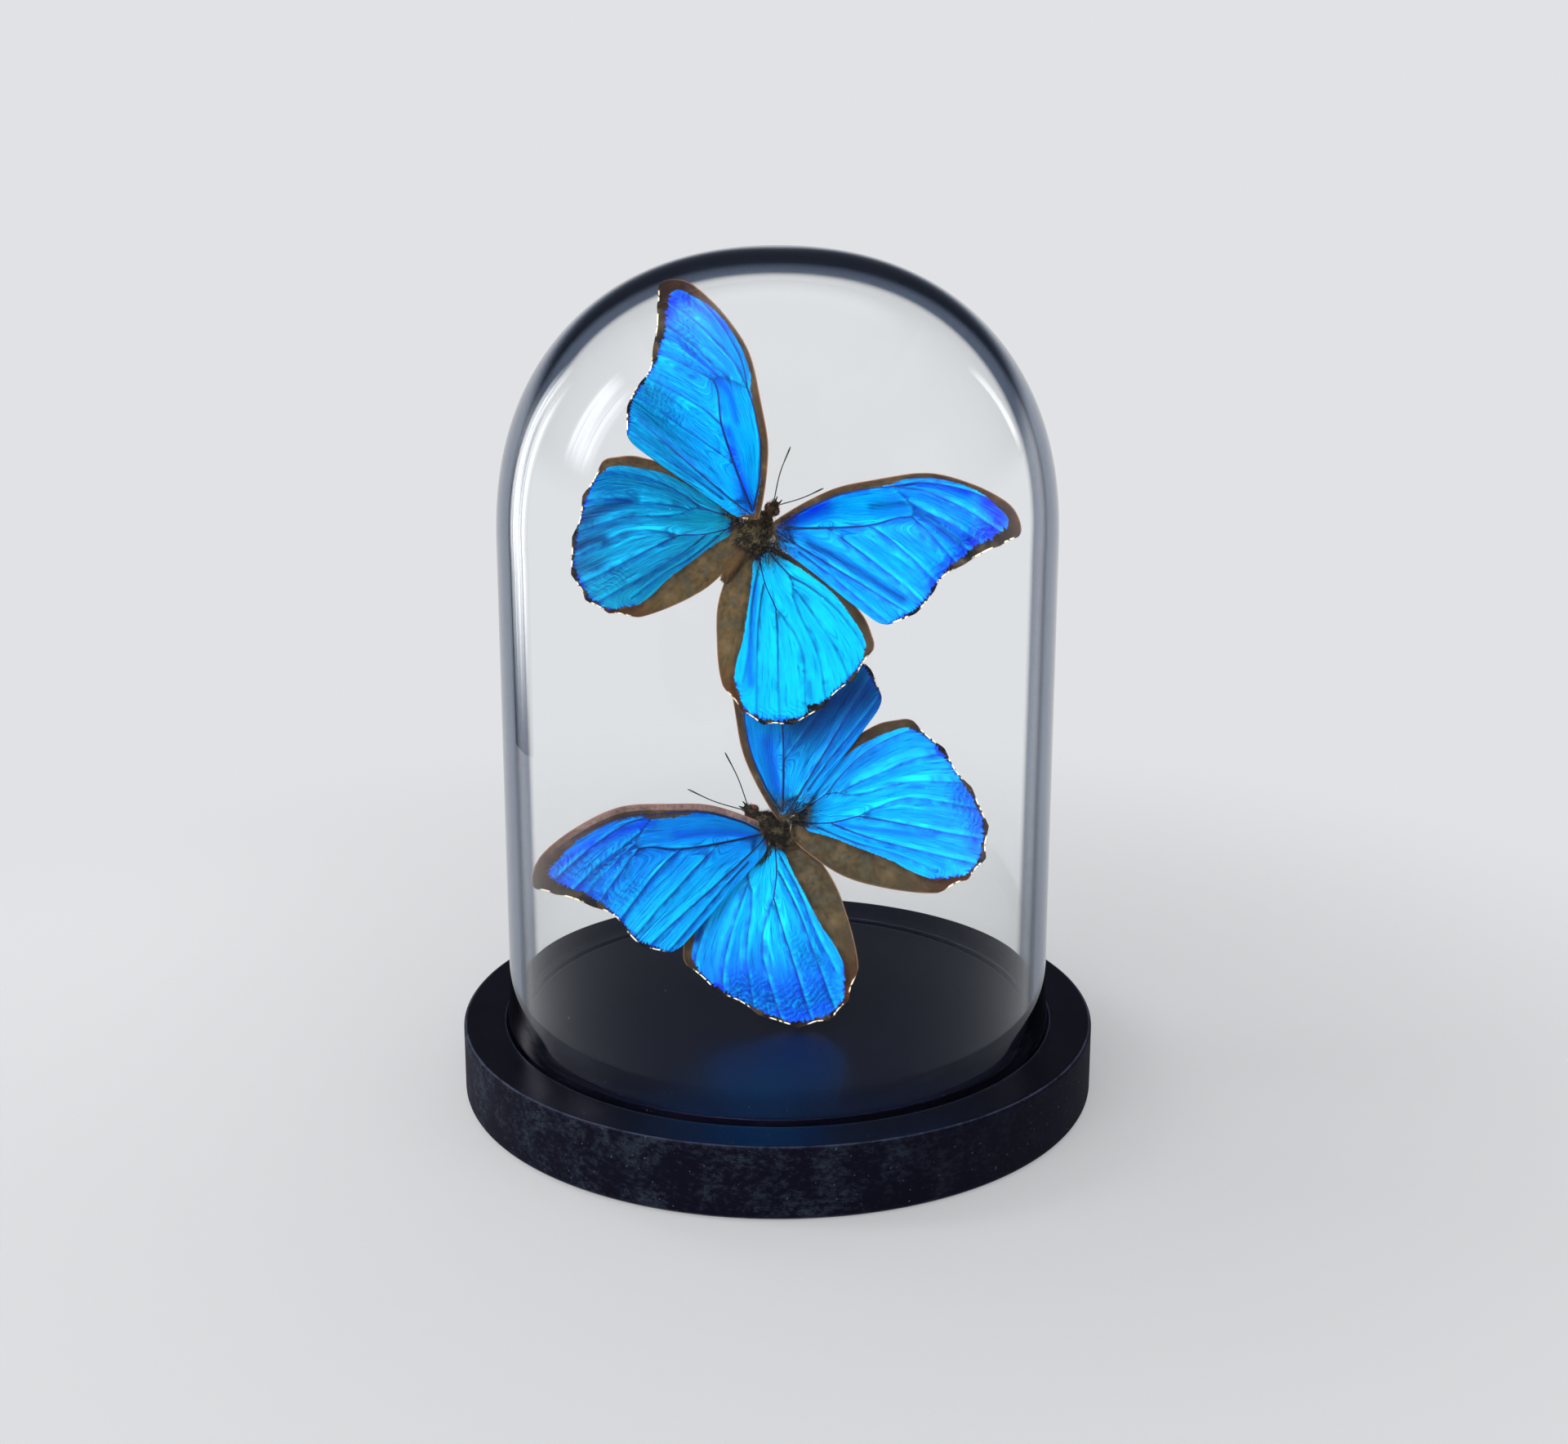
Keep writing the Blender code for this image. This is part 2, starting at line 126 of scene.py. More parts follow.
# Edge of the blue: along the costa, then down the outer margin
FOREWING_BLUE = (
    (0.0, -0.015), (0.12, 0.06), (0.26, 0.115), (0.38, 0.14), (0.49, 0.16), (0.53, 0.178), (0.65, 0.182),
    (0.76, 0.16), (0.85, 0.12), (0.92, 0.06), (0.955, 0.02), (0.95, -0.02), (0.92, -0.05),
    (0.87, -0.078), (0.82, -0.108), (0.77, -0.148), (0.72, -0.195), (0.67, -0.262), (0.61, -0.345),
    (0.54, -0.388), (0.48, -0.415), (0.35, -0.36), (0.17, -0.225), (0.02, -0.1),
)
HINDWING_BLUE = (
    (0.02, 0.035), (0.1, 0.138), (0.19, 0.232), (0.285, 0.312), (0.375, 0.364), (0.505, 0.413),
    (0.60, 0.428), (0.68, 0.393), (0.76, 0.31), (0.83, 0.2), (0.90, 0.08), (0.95, -0.03), (0.957, -0.1),
    (0.95, -0.19), (0.925, -0.26), (0.87, -0.33), (0.78, -0.35), (0.68, -0.345), (0.57, -0.30),
    (0.47, -0.24), (0.30, -0.165), (0.15, -0.10), (0.03, -0.055),
)
WING_KINDS = {
    "forewing": {
        "outline": FOREWING_OUTLINE, "span": 63, "hub": (0.5, -0.05), "margin": (7, 11), "scallops": 5,
        "scallop_depth": 0.4, "veins": FOREWING_VEINS, "folds": FOREWING_FOLDS, "blue": FOREWING_BLUE,
        "eyespots": ((0.72, 0.03, 2.2), (0.66, -0.08, 2.6), (0.56, -0.2, 3.0)),
        "bands": ((0.42, -0.3), (0.5, 0.16)),
    },
    "hindwing": {
        "outline": HINDWING_OUTLINE, "span": 50, "hub": (0.48, 0.0), "margin": (4, 11), "scallops": 6,
        "scallop_depth": 0.9, "veins": HINDWING_VEINS, "folds": HINDWING_FOLDS, "blue": HINDWING_BLUE,
        "eyespots": ((0.62, 0.3, 3.4), (0.73, 0.09, 2.6), (0.74, -0.07, 2.8), (0.68, -0.24, 3.0)),
        "bands": ((0.36, -0.3), (0.42, 0.4)),
    },
}
SAMPLES_PER_STRETCH = 16
WING_RINGS = 44
RING_CROWDING = 1.35  # above 1 the rings crowd towards the wing's edge
WING_SHEET = 0.2
VEIN_SPACING = 6  # typical, from vein to vein
VEIN_STOP = 0.7  # veins end this far inside the wing's edge
VEIN_RIDGE = 0.16
VEIN_RIDGE_WIDTH = 1.1
WAVE_SIZE = 9
WAVE_HEIGHT = 0.35
FLAT_ROOT = 12  # folds and waves grow from the root to this distance
BOW_SPAN = 60
CUP_CHORD = 25
# Hair over the wing's root: places as a grid, out from the root and to both sides of a middle
ROOT_HAIR_GRID = 14
ROOT_HAIR_REACH = (-1.5, 7)
ROOT_HAIR_SPREAD = {"forewing": (-3.4, 6.4), "hindwing": (1.0, 4.8)}
ROOT_HAIR = {
    "Density": 1.8e7, "Length": 2.6 * MM, "Width": 0.07 * MM, "Stand": 0.25, "Spread": 0.45, "Seed": 5,
}
ROOT_HAIR_COLOURS = (0.34, 0.3, 0.2), (0.1, 0.12, 0.16)

BUTTERFLIES = {
    "upper": {
        "thorax": (-6, -10.5, 157.5),
        "heading": 35,
        "size": 1.0,
        "wings": {
            "forewing_left": ((-2.5, 5, 2.8), (34, 9, 18), (-0.5, -0.5, 0.5)),
            "forewing_right": ((3, 5.5, 1.5), (34, 14, -2), (-0.5, 1, -0.5)),
            "hindwing_left": ((-6.2, 0.2, -2.4), (-46, -17, 18), (1, -2.5, 2.5)),
            "hindwing_right": ((4, -2, -0.5), (-40, -17, 21), (0, 1, 0.5)),
        },
        "antenna_tips": {"left": (-4.8, 23, 12), "right": (8.2, 19.1, 12.2)},
    },
    "lower": {
        "thorax": (-0.5, 4, 71),
        "heading": -52,
        "size": 1.08,
        "wings": {
            "forewing_left": ((-1, 2.5, 1.2), (42, 27, 9), (-1, 0.5, 1)),
            "forewing_right": ((4, 2.5, 3.2), (37, 7, 3), (-0.5, -0.5, 0)),
            "hindwing_left": ((-2.5, 1, -0.7), (-42, 5, -5), (0.5, 1, -0.5)),
            "hindwing_right": ((6.5, -2, 2), (-49, 3, -3), (0.5, 0.5, 0)),
        },
        "antenna_tips": {"left": (-5.5, 26.4, 7.3), "right": (9, 24.5, 14.2)},
    },
}
BACK_LEAN = 15

# Body, head to tail: (forward, up, half width, half height)
BODY_SECTIONS = (
    (10.4, 0.1, 0.35, 0.35), (9.7, 0.2, 0.9, 0.8), (8.6, 0.4, 1.45, 1.35), (7.3, 0.5, 1.6, 1.6),
    (6.3, 0.3, 1.25, 1.35), (5.2, 0.0, 2.2, 2.2), (2.2, 0.0, 3.0, 3.1), (-1.6, 0.0, 3.0, 3.1),
    (-5.0, -0.3, 2.4, 2.6), (-7.2, -0.9, 1.4, 1.5), (-9.0, -1.7, 1.6, 1.6), (-11.2, -2.9, 1.6, 1.6),
    (-13.2, -4.2, 1.3, 1.3), (-14.8, -5.4, 0.7, 0.7),
)
BODY_SIDES = 48
BODY_RINGS = 110
# Places along the body, measured forwards
MOUTH = 10  # bare from here on
CREST = 6.5  # the hair in front of it lies forwards
NECK = 6
WAIST = -5
TUFTS_PER_MM = 0.75
SWIRL_SEED = 11
BODY_HAIR = {
    "Density": 2.2e7, "Length": 2.3 * MM, "Width": 0.07 * MM, "Stand": 0.8, "Spread": 0.6, "Seed": 11,
}
BODY_HAIR_COLOURS = (0.42, 0.375, 0.265), (0.12, 0.1, 0.07)
HAIR_LENGTHS = {"head": 0.385, "thorax": 0.85, "tail": 0.3}  # shares of the hair's length
SIDES = {"left": -1, "right": 1}
EYE_PLACE = (1.35, 7.9, 0.5)
EYE_RADIUS = 0.9975
EYE_SWELL = (0.85, 1.1, 1.1)
PALP_PATH = ((0.45, 9, -0.3), (0.6, 10.4, 0.1), (0.75, 11.4, 1.0))
PALP_RADIUS = 0.42
PALP_TAPER = 0.75
PALP_SAMPLES = 12
PALP_RUN = 8.0  # they are coloured like the head
ANTENNA_SOCKET = (0.67, 9.6, 1.3)
ANTENNA_ARCH = (0.6, 0, 0.8)
ANTENNA_RADIUS = 0.15
ANTENNA_SAMPLES = 72
CLUB_SWELL = 0.06
CLUB_START = 0.72  # share of the antenna's length
LEG_PATHS = {
    "mid": ((1.3, 2.1, -3.4), (3.2, 3.4, -5.6), (2.8, -0.4, -7.4), (3.1, -3.8, -8.4)),
    "hind": ((1.1, -0.4, -3.5), (1.5, -2.6, -6.2), (0.8, -6.0, -8.8), (1.0, -9.4, -10.0)),
}
LEG_RADII = (0.42, 0.34, 0.26, 0.14)
LEG_SAMPLES = 40
# Horn: its dark and pale colours, and rings per millimetre
HORNS = {
    "antenna_brown": ((0.16, 0.16, 0.14), (0.36, 0.35, 0.31), 1.6),
    "leg_brown": ((0.2, 0.15, 0.1), (0.34, 0.27, 0.18), 0.9),
}
WIRE_PATHS = {
    "upper": (
        (1, 19, 20), (1, 19, 60), (1, 19, 105), (0, 18, 134), (-2, 12, 149), (-4.6, 1, 154.6),
        (-6, -7.2, 156.7),
    ),
    "lower": ((3.2, 14.5, 20), (3.2, 14.5, 40), (3.2, 14, 57), (2, 12, 66), (-0.4, 7.6, 70)),
}
WIRE_RADIUS = 0.6
WIRE_SAMPLES = 80

# Strokes on each wing: kind, width, strength and the path. "violet" is painted iridescence that deepens
# the blue, "dark" is painted shade in a crease and, on the lower right forewing, a painted cast shadow,
# "light" is painted sheen, "brown" is where the blue scales are rubbed off, "pleat" is crimped.
WING_STROKES = {
    "upper_forewing_left": (
        ("pleat", 3.0, 0.4, ((0.7, -0.02), (0.84, 0.0), (0.9, 0.04))),
        ("pleat", 5.0, 0.5, ((0.5, -0.2), (0.62, -0.24))),
        ("violet", 0.9, 0.6, ((0.38, 0.055), (0.5, 0.065), (0.62, 0.02), (0.72, -0.03), (0.86, -0.08))),
        ("violet", 2.2, 0.9, ((0.9, 0.05), (0.93, 0.0), (0.88, -0.06))),
        ("violet", 1.4, 0.7, ((0.74, 0.15), (0.84, 0.1), (0.9, 0.04))),
        ("violet", 1.5, 0.8, ((0.02, -0.02), (0.2, -0.01), (0.36, 0.0))),
        ("light", 5.0, 0.5, ((0.12, 0.04), (0.3, 0.09), (0.46, 0.11))),
        ("dark", 6.5, 0.45, ((0.3, -0.2), (0.45, -0.28), (0.56, -0.3))),
    ),
    "upper_forewing_right": (
        ("pleat", 3.5, 0.5, ((0.86, -0.02), (0.76, -0.12), (0.66, -0.22))),
        ("violet", 2.6, 1.0, ((0.02, 0.01), (0.1, 0.035), (0.2, 0.07))),
        ("violet", 2.6, 1.0, ((0.88, 0.08), (0.92, 0.02), (0.88, -0.04), (0.8, -0.08))),
        ("violet", 1.6, 0.8, ((0.8, -0.1), (0.72, -0.17), (0.66, -0.26))),
        ("violet", 1.2, 0.7, ((0.5, 0.165), (0.66, 0.17), (0.8, 0.13))),
        ("light", 5.5, 0.5, ((0.2, 0.07), (0.4, 0.11))),
        ("dark", 1.3, 0.8, ((0.14, -0.085), (0.28, -0.155), (0.42, -0.24), (0.54, -0.31))),
        ("dark", 1.2, 0.7, ((0.58, 0.06), (0.68, -0.015), (0.77, -0.085))),
        ("dark", 1.0, 0.6, ((0.4, 0.07), (0.5, 0.08), (0.56, 0.078))),
    ),
    "upper_hindwing_left": (
        ("pleat", 4.0, 0.35, ((0.72, -0.16), (0.86, -0.18))),
        ("dark", 2.0, 0.9, ((0.5, 0.24), (0.7, 0.22), (0.88, 0.17))),
        ("dark", 2.0, 0.9, ((0.74, 0.06), (0.84, 0.06), (0.95, 0.04))),
        ("dark", 2.4, 0.6, ((0.82, -0.08), (0.95, -0.06))),
        ("dark", 2.0, 0.5, ((0.3, -0.1), (0.5, -0.17), (0.62, -0.22))),
        ("dark", 7.0, 0.55, ((0.2, 0.2), (0.4, 0.33), (0.6, 0.35))),
        ("light", 5.0, 0.3, ((0.5, 0.02), (0.7, -0.02), (0.85, -0.15))),
    ),
    "upper_hindwing_right": (
        ("pleat", 2.5, 0.35, ((0.9, 0.0), (0.93, -0.12), (0.9, -0.22))),
        ("violet", 1.1, 0.6, ((0.18, -0.09), (0.4, -0.17), (0.6, -0.23), (0.72, -0.26))),
        ("light", 9.0, 0.6, ((0.3, 0.0), (0.55, 0.02), (0.8, 0.0))),
        ("dark", 0.45, 1.0, ((0.69, 0.05), (0.695, 0.052))),
        ("dark", 1.0, 0.5, ((0.76, 0.06), (0.84, 0.05))),
        ("brown", 1.0, 0.9, ((0.89, 0.03), (0.9, 0.05))),
    ),
    "lower_forewing_left": (
        ("pleat", 4.0, 0.45, ((0.6, 0.04), (0.76, -0.02), (0.88, 0.02))),
        ("pleat", 4.0, 0.5, ((0.6, -0.14), (0.72, -0.14))),
        ("brown", 4.2, 0.8, ((0.4, 0.15), (0.6, 0.165), (0.8, 0.13), (0.93, 0.05))),
        ("violet", 1.5, 0.8, ((0.5, 0.12), (0.7, 0.1), (0.84, 0.05), (0.93, 0.0))),
        ("violet", 1.8, 0.7, ((0.92, -0.03), (0.82, -0.09), (0.74, -0.15))),
        ("violet", 1.4, 0.6, ((0.06, -0.02), (0.25, 0.03), (0.4, 0.05))),
        ("light", 5.0, 0.5, ((0.3, -0.12), (0.45, -0.22), (0.55, -0.28))),
    ),
    "lower_forewing_right": (
        ("pleat", 4.0, 0.5, ((0.6, -0.1), (0.8, -0.04))),
        # painted shadow cast by the upper butterfly's right hindwing
        ("dark", 9.0, 0.9, ((0.36, -0.1), (0.45, -0.2), (0.5, -0.33))),
        ("violet", 2.0, 0.7, ((0.7, 0.1), (0.86, 0.05), (0.9, -0.03))),
        ("violet", 2.0, 0.6, ((0.1, 0.0), (0.3, 0.05))),
        ("light", 4.5, 0.5, ((0.1, -0.06), (0.24, -0.1))),
    ),
    "lower_hindwing_left": (
        ("pleat", 5.5, 0.6, ((0.78, 0.18), (0.86, 0.0), (0.82, -0.22))),
        ("pleat", 4.0, 0.4, ((0.55, -0.1), (0.66, -0.2))),
        ("violet", 6.0, 0.5, ((0.7, 0.2), (0.8, 0.0), (0.78, -0.2))),
        ("violet", 3.0, 0.7, ((0.9, 0.0), (0.93, -0.12), (0.88, -0.24))),
        ("dark", 1.2, 0.9, ((0.08, 0.1), (0.3, 0.29), (0.5, 0.4))),
        ("light", 7.0, 0.7, ((0.15, 0.02), (0.35, 0.03), (0.5, 0.02))),
    ),
    "lower_hindwing_right": (
        ("pleat", 4.0, 0.5, ((0.84, 0.1), (0.9, -0.06))),
        ("violet", 0.8, 0.6, ((0.2, -0.05), (0.45, -0.09), (0.7, -0.13))),
        ("violet", 2.4, 0.6, ((0.85, 0.1), (0.93, -0.05), (0.9, -0.2))),
        ("light", 6.0, 0.5, ((0.2, 0.06), (0.45, 0.12), (0.7, 0.15))),
        ("dark", 5.0, 0.5, ((0.1, 0.12), (0.25, 0.25), (0.4, 0.32))),
    ),
}
# Each wing's blues, painted lighter or darker by how the light falls on that wing: near the root, further
# out, and along the rear
LIT_WING_BLUES = {
    "upper_forewing_left": ((0.0, 0.6, 0.92), (0.0, 0.53, 0.9), (0.04, 0.52, 0.68)),
    "upper_forewing_right": ((0.0, 0.56, 0.93), (0.0, 0.51, 0.95), (0.0, 0.57, 0.98)),
    "upper_hindwing_left": ((0.04, 0.55, 0.68), (0.02, 0.5, 0.7), (0.04, 0.56, 0.7)),
    "upper_hindwing_right": ((0.0, 0.75, 1.0), (0.0, 0.75, 1.0), (0.0, 0.69, 1.0)),
    "lower_forewing_left": ((0.0, 0.59, 0.94), (0.0, 0.51, 0.92), (0.0, 0.67, 0.96)),
    "lower_forewing_right": ((0.0, 0.6, 0.94), (0.0, 0.55, 0.9), (0.0, 0.5, 0.85)),
    "lower_hindwing_left": ((0.0, 0.65, 0.94), (0.0, 0.47, 0.8), (0.0, 0.56, 0.88)),
    "lower_hindwing_right": ((0.0, 0.64, 0.98), (0.0, 0.57, 0.98), (0.0, 0.62, 0.98)),
}
# Which side of its veins is in the shade (1 front, -1 rear), and how deep
VEIN_SHADE = {
    "upper_forewing_left": (1, 0.4), "upper_forewing_right": (-1, 0.65),
    "upper_hindwing_left": (-1, 0.45), "upper_hindwing_right": (1, 0.3),
    "lower_forewing_left": (-1, 0.75), "lower_forewing_right": (-1, 0.5),
    "lower_hindwing_left": (1, 0.7), "lower_hindwing_right": (-1, 0.5),
}
# Painted light on the blue: shade on the lee side of veins, shade in creases and streaks, violet
# iridescence, and sheen
FOLD_SHADE_BLUE = (0.02, 0.13, 0.66)
CREASE_SHADE_NAVY = (0.0, 0.07, 0.34)
IRIDESCENT_VIOLET = (0.06, 0.02, 0.86)
SHEEN_CYAN = (0.04, 0.8, 1.0)
MARGIN_BLACK = (0.085, 0.06, 0.045)
APEX_BROWN = (0.27, 0.17, 0.09)
COSTA_BROWN = (0.3, 0.245, 0.18)
ANAL_OLIVE = {"upper": (0.37, 0.31, 0.2), "lower": (0.31, 0.265, 0.18)}
ANAL_SHADE = (0.22, 0.185, 0.12)
ANAL_GREY = (0.3, 0.3, 0.27)
ANAL_RUST = (0.4, 0.22, 0.1)
EDGE_CREAM = (0.97, 0.92, 0.8)
EDGE_ROSE = (0.6, 0.44, 0.37)
BARED_COSTA = (0.52, 0.43, 0.41)
RUBBED_WING = "lower_forewing_left"
UNDER_BROWN = (0.41, 0.31, 0.22)
UNDER_DARK = (0.3, 0.215, 0.15)
UNDER_BAND = (0.62, 0.53, 0.4)
UNDER_BORDER = 2.4  # from the wing's edge to the middle of the pale line along it
EYESPOT_BLACK = (0.06, 0.045, 0.04)
EYESPOT_DISCS = (
    (EYESPOT_BLACK, 1.15), ((0.7, 0.52, 0.24), 1.0), (EYESPOT_BLACK, 0.72), ((0.9, 0.9, 0.85), 0.2),
)

# Studio, in metres
PALE = (0.82, 0.825, 0.835)
WALL_GREY = (0.26, 0.27, 0.3)
CEILING = (0.86, 0.86, 0.87)
FLOOR_RADIUS = 4.0

# Camera, as fitted to the photo: the frame, focal length and optical centre are in the photo's pixels
FRAME = (1920, 1768)
FOCAL_LENGTH = 2805
OPTICAL_CENTRE = (952.2, 819.9)
SENSOR = 36
CAMERA_PITCH = 14.7
CAMERA_DISTANCE = 0.62
CAMERA_TARGET = (0, 0, 0.118)


# ---------------------------------------------------------------- nodes


class Value:
    """A node's output that takes part in Python arithmetic; each operator adds a Math node."""

    def __init__(self, graph, socket):
        self.graph, self.socket = graph, socket

    def math(self, operation, *operands):
        return self.graph.node("ShaderNodeMath", {"operation": operation}, dict(enumerate(operands)))

    def __add__(self, other):
        return self.math("ADD", self, other)

    def __sub__(self, other):
        return self.math("SUBTRACT", self, other)

    def __rsub__(self, other):
        return self.math("SUBTRACT", other, self)

    def __mul__(self, other):
        return self.math("MULTIPLY", self, other)

    def __truediv__(self, other):
        return self.math("DIVIDE", self, other)

    def __pow__(self, other):
        return self.math("POWER", self, other)

    def __abs__(self):
        return self.math("ABSOLUTE", self)

    def or_more(self, other):
        return self.math("MAXIMUM", self, other)

    def back_and_forth(self, length):
        return self.math("PINGPONG", self, length)

    __radd__ = __add__
    __rmul__ = __mul__


class Graph:
    """A node tree of a material or a modifier."""

    def __init__(self, tree):
        self.tree = tree

    def node(self, kind, settings=None, inputs=None, output=0):
        """Adds a node, sets it up and fills its sockets with values or links. Returns one output."""
        node = self.tree.nodes.new(kind)
        for name, value in (settings or {}).items():
            setattr(node, name, value)
        for name, value in (inputs or {}).items():
            if isinstance(value, Value):
                self.tree.links.new(value.socket, node.inputs[name])
            else:
                node.inputs[name].default_value = value
        return None if output is None else Value(self, node.outputs[output])


def linear(colour):
    """A colour as it looks on screen, made linear for a shader."""
    parts = (c / 12.92 if c <= 0.04045 else ((c + 0.055) / 1.055) ** 2.4 for c in colour)
    return (*parts, 1.0)


class Palette(Graph):
    """A shader tree, cleared and ready for colours."""

    def __init__(self, tree):
        super().__init__(tree)
        tree.nodes.clear()
        self.place = self.node("ShaderNodeTexCoord", output="Object")

    def attribute(self, name):
        """A number kept on the mesh's points."""
        return self.node("ShaderNodeAttribute", {"attribute_name": name}, output="Fac")

    def arrow(self, name):
        """Three numbers kept on the mesh's points."""
        return self.node("ShaderNodeAttribute", {"attribute_name": name}, output="Vector")

    def scaled(self, vector, factors):
        return self.node("ShaderNodeVectorMath", {"operation": "MULTIPLY"}, {0: vector, 1: factors})

    def parts(self, vector):
        x = self.node("ShaderNodeSeparateXYZ", inputs={0: vector})
        return tuple(Value(self, socket) for socket in x.socket.node.outputs)

    def noise(self, vector, scale, detail=2.0, roughness=0.5, distortion=0.0):
        return self.node("ShaderNodeTexNoise", inputs={
            "Vector": vector, "Scale": scale, "Detail": detail, "Roughness": roughness,
            "Distortion": distortion,
        })

    def rise(self, value, low, high):
        """0 below low, 1 above high, smooth between. With low above high it falls instead."""
        return self.node("ShaderNodeMapRange", {"interpolation_type": "SMOOTHSTEP"}, {
            "Value": value, "From Min": low, "From Max": high,
        })

    def mix(self, factor, first, second):
        first, second = (c if isinstance(c, Value) else linear(c) for c in (first, second))
        return self.node(
            "ShaderNodeMix", {"data_type": "RGBA"}, {0: factor, 6: first, 7: second}, output=2
        )

    def layered(self, colour, *layers):
        """A colour with others over it, each given with its share."""
        for share, over in layers:
            colour = self.mix(share, colour, over)
        return colour

    def bump(self, height, distance, strength=1.0, normal=None):
        inputs = {"Height": height, "Distance": distance * MM, "Strength": strength}
        if normal:
            inputs["Normal"] = normal
        return self.node("ShaderNodeBump", inputs=inputs)

    def shader(self, colour, **sockets):
        """A principled shader; ior_level fills the socket IOR Level, and so on."""
        inputs = {"Base Color": colour if isinstance(colour, Value) else linear(colour)}
        inputs.update({name.replace("_", " ").title(): value for name, value in sockets.items()})
        inputs = {name.replace("Ior", "IOR"): value for name, value in inputs.items()}
        return self.node("ShaderNodeBsdfPrincipled", inputs=inputs)


class Finish(Palette):
    """A material. Its last call gives it its surface."""

    def __init__(self, name):
        self.material = bpy.data.materials.new(name)
        self.material.use_nodes = True
        super().__init__(self.material.node_tree)

    def surface(self, shader):
        self.node("ShaderNodeOutputMaterial", inputs={"Surface": shader}, output=None)
        return self.material


# ---------------------------------------------------------------- shapes


def catmull_rom(a, b, c, d, t):
    return 0.5 * (
        2 * b + (c - a) * t + (2 * a - 5 * b + 4 * c - d) * t * t + (3 * b - a - 3 * c + d) * t**3
    )


def smooth_path(points, samples, kind=Vector):
    """Catmull-Rom curve through points, read at evenly spaced parameters."""
    points = [kind(p) for p in points]
    ends = [2 * points[0] - points[1], *points, 2 * points[-1] - points[-2]]
    path = []
    for i in range(samples):
        t = i / (samples - 1) * (len(points) - 1)
        k = min(int(t), len(points) - 2)
        path.append(catmull_rom(*ends[k : k + 4], t - k))
    return path


def mirrored(place, side):
    """A place on the right, or its mirror image on the left, where side is -1."""
    return Vector((side * place[0], place[1], place[2]))


def arc(centre, radius, start, end, steps):
    """Points along a part of a circle, from the start to the end angle in degrees."""
    angles = [radians(start + (end - start) * i / steps) for i in range(steps + 1)]
    return [(centre[0] + radius * cos(a), centre[1] + radius * sin(a)) for a in angles]


def add_object(name, data):
    thing = bpy.data.objects.new(name, data)
    bpy.context.scene.collection.objects.link(thing)
    return thing


def mesh_from(name, shape):
    """A mesh from a finished shape, which is freed."""
    mesh = bpy.data.meshes.new(name)
    shape.to_mesh(mesh)
    shape.free()
    return mesh


def add_piece(name, mesh, *materials):
    piece = add_object(name, mesh)
    for material in materials:
        mesh.materials.append(material)
    return piece


def settled(piece):
    """Works a piece's modifiers into its mesh and takes them off."""
    bpy.context.view_layer.update()
    evaluated = piece.evaluated_get(bpy.context.evaluated_depsgraph_get())
    mesh = bpy.data.meshes.new_from_object(evaluated)
    piece.modifiers.clear()
    old = piece.data
    piece.data = mesh
    bpy.data.meshes.remove(old)
    mesh.name = piece.name
    return piece


def belongs(piece, slot, *nodes):
    """Fixes a finished piece to the part and hides the solids it stands for."""
    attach(piece, "root")
    if nodes:
        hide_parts(*nodes)
    return piece


def turned(name, profile, material, sharp=30):
    """A turned solid. The profile, in millimetres, starts and ends on the axis."""
    shape = bmesh.new()
    rows = []
    for radius, height in profile:
        if radius < 1e-6:
            rows.append([shape.verts.new((0, 0, height * MM))])
            continue
        angles = [2 * pi * i / TURNED_SEGMENTS for i in range(TURNED_SEGMENTS)]
        rows.append([
            shape.verts.new((radius * MM * cos(a), radius * MM * sin(a), height * MM)) for a in angles
        ])
    for first, second in zip(rows, rows[1:]):
        for i in range(TURNED_SEGMENTS):
            j = (i + 1) % TURNED_SEGMENTS
            corners = [first[i % len(first)], second[i % len(second)]]
            if len(second) > 1:
                corners.append(second[j])
            if len(first) > 1:
                corners.append(first[j])
            shape.faces.new(corners)
    bmesh.ops.recalc_face_normals(shape, faces=shape.faces)
    mesh = mesh_from(name, shape)
    mesh.shade_smooth()
    mesh.set_sharp_from_angle(angle=radians(sharp))
    return add_piece(name, mesh, material)


def node_tree(name, **inputs):
    """A Geometry Nodes tree with named inputs; returns the tree, its graph and its input values."""
    tree = bpy.data.node_groups.new(name, "GeometryNodeTree")
    tree.interface.new_socket("Geometry", in_out="INPUT", socket_type="NodeSocketGeometry")
    for title, kind in inputs.items():
        tree.interface.new_socket(title, in_out="INPUT", socket_type=f"NodeSocket{kind}")
    tree.interface.new_socket("Geometry", in_out="OUTPUT", socket_type="NodeSocketGeometry")
    graph = Graph(tree)
    source = graph.node("NodeGroupInput").socket.node
    return tree, graph, {socket.name: Value(graph, socket) for socket in source.outputs if socket.name}


def run_tree(piece, tree, **values):
    """Puts a Geometry Nodes tree on a piece, sets its inputs and settles it."""
    modifier = piece.modifiers.new(tree.name, "NODES")
    modifier.node_group = tree
    for item in tree.interface.items_tree:
        if item.in_out == "INPUT" and item.name in values:
            modifier[item.identifier] = values[item.name]
    return settled(piece)


def rod_tree():
    """Round rods along the edges of a mesh, as thick as its radius attribute says."""
    tree, graph, given = node_tree("rods", Sides="Int", Material="Material")
    curve = graph.node("GeometryNodeMeshToCurve", inputs={"Mesh": given["Geometry"]})
    ring = graph.node(
        "GeometryNodeCurvePrimitiveCircle", inputs={"Resolution": given["Sides"], "Radius": 1.0}
    )
    radius = graph.node("GeometryNodeInputNamedAttribute", inputs={"Name": "radius"})
    rods = graph.node("GeometryNodeCurveToMesh", inputs={
        "Curve": curve, "Profile Curve": ring, "Scale": radius, "Fill Caps": True,
    })
    finish_tree(graph, rods, given["Material"])
    return tree


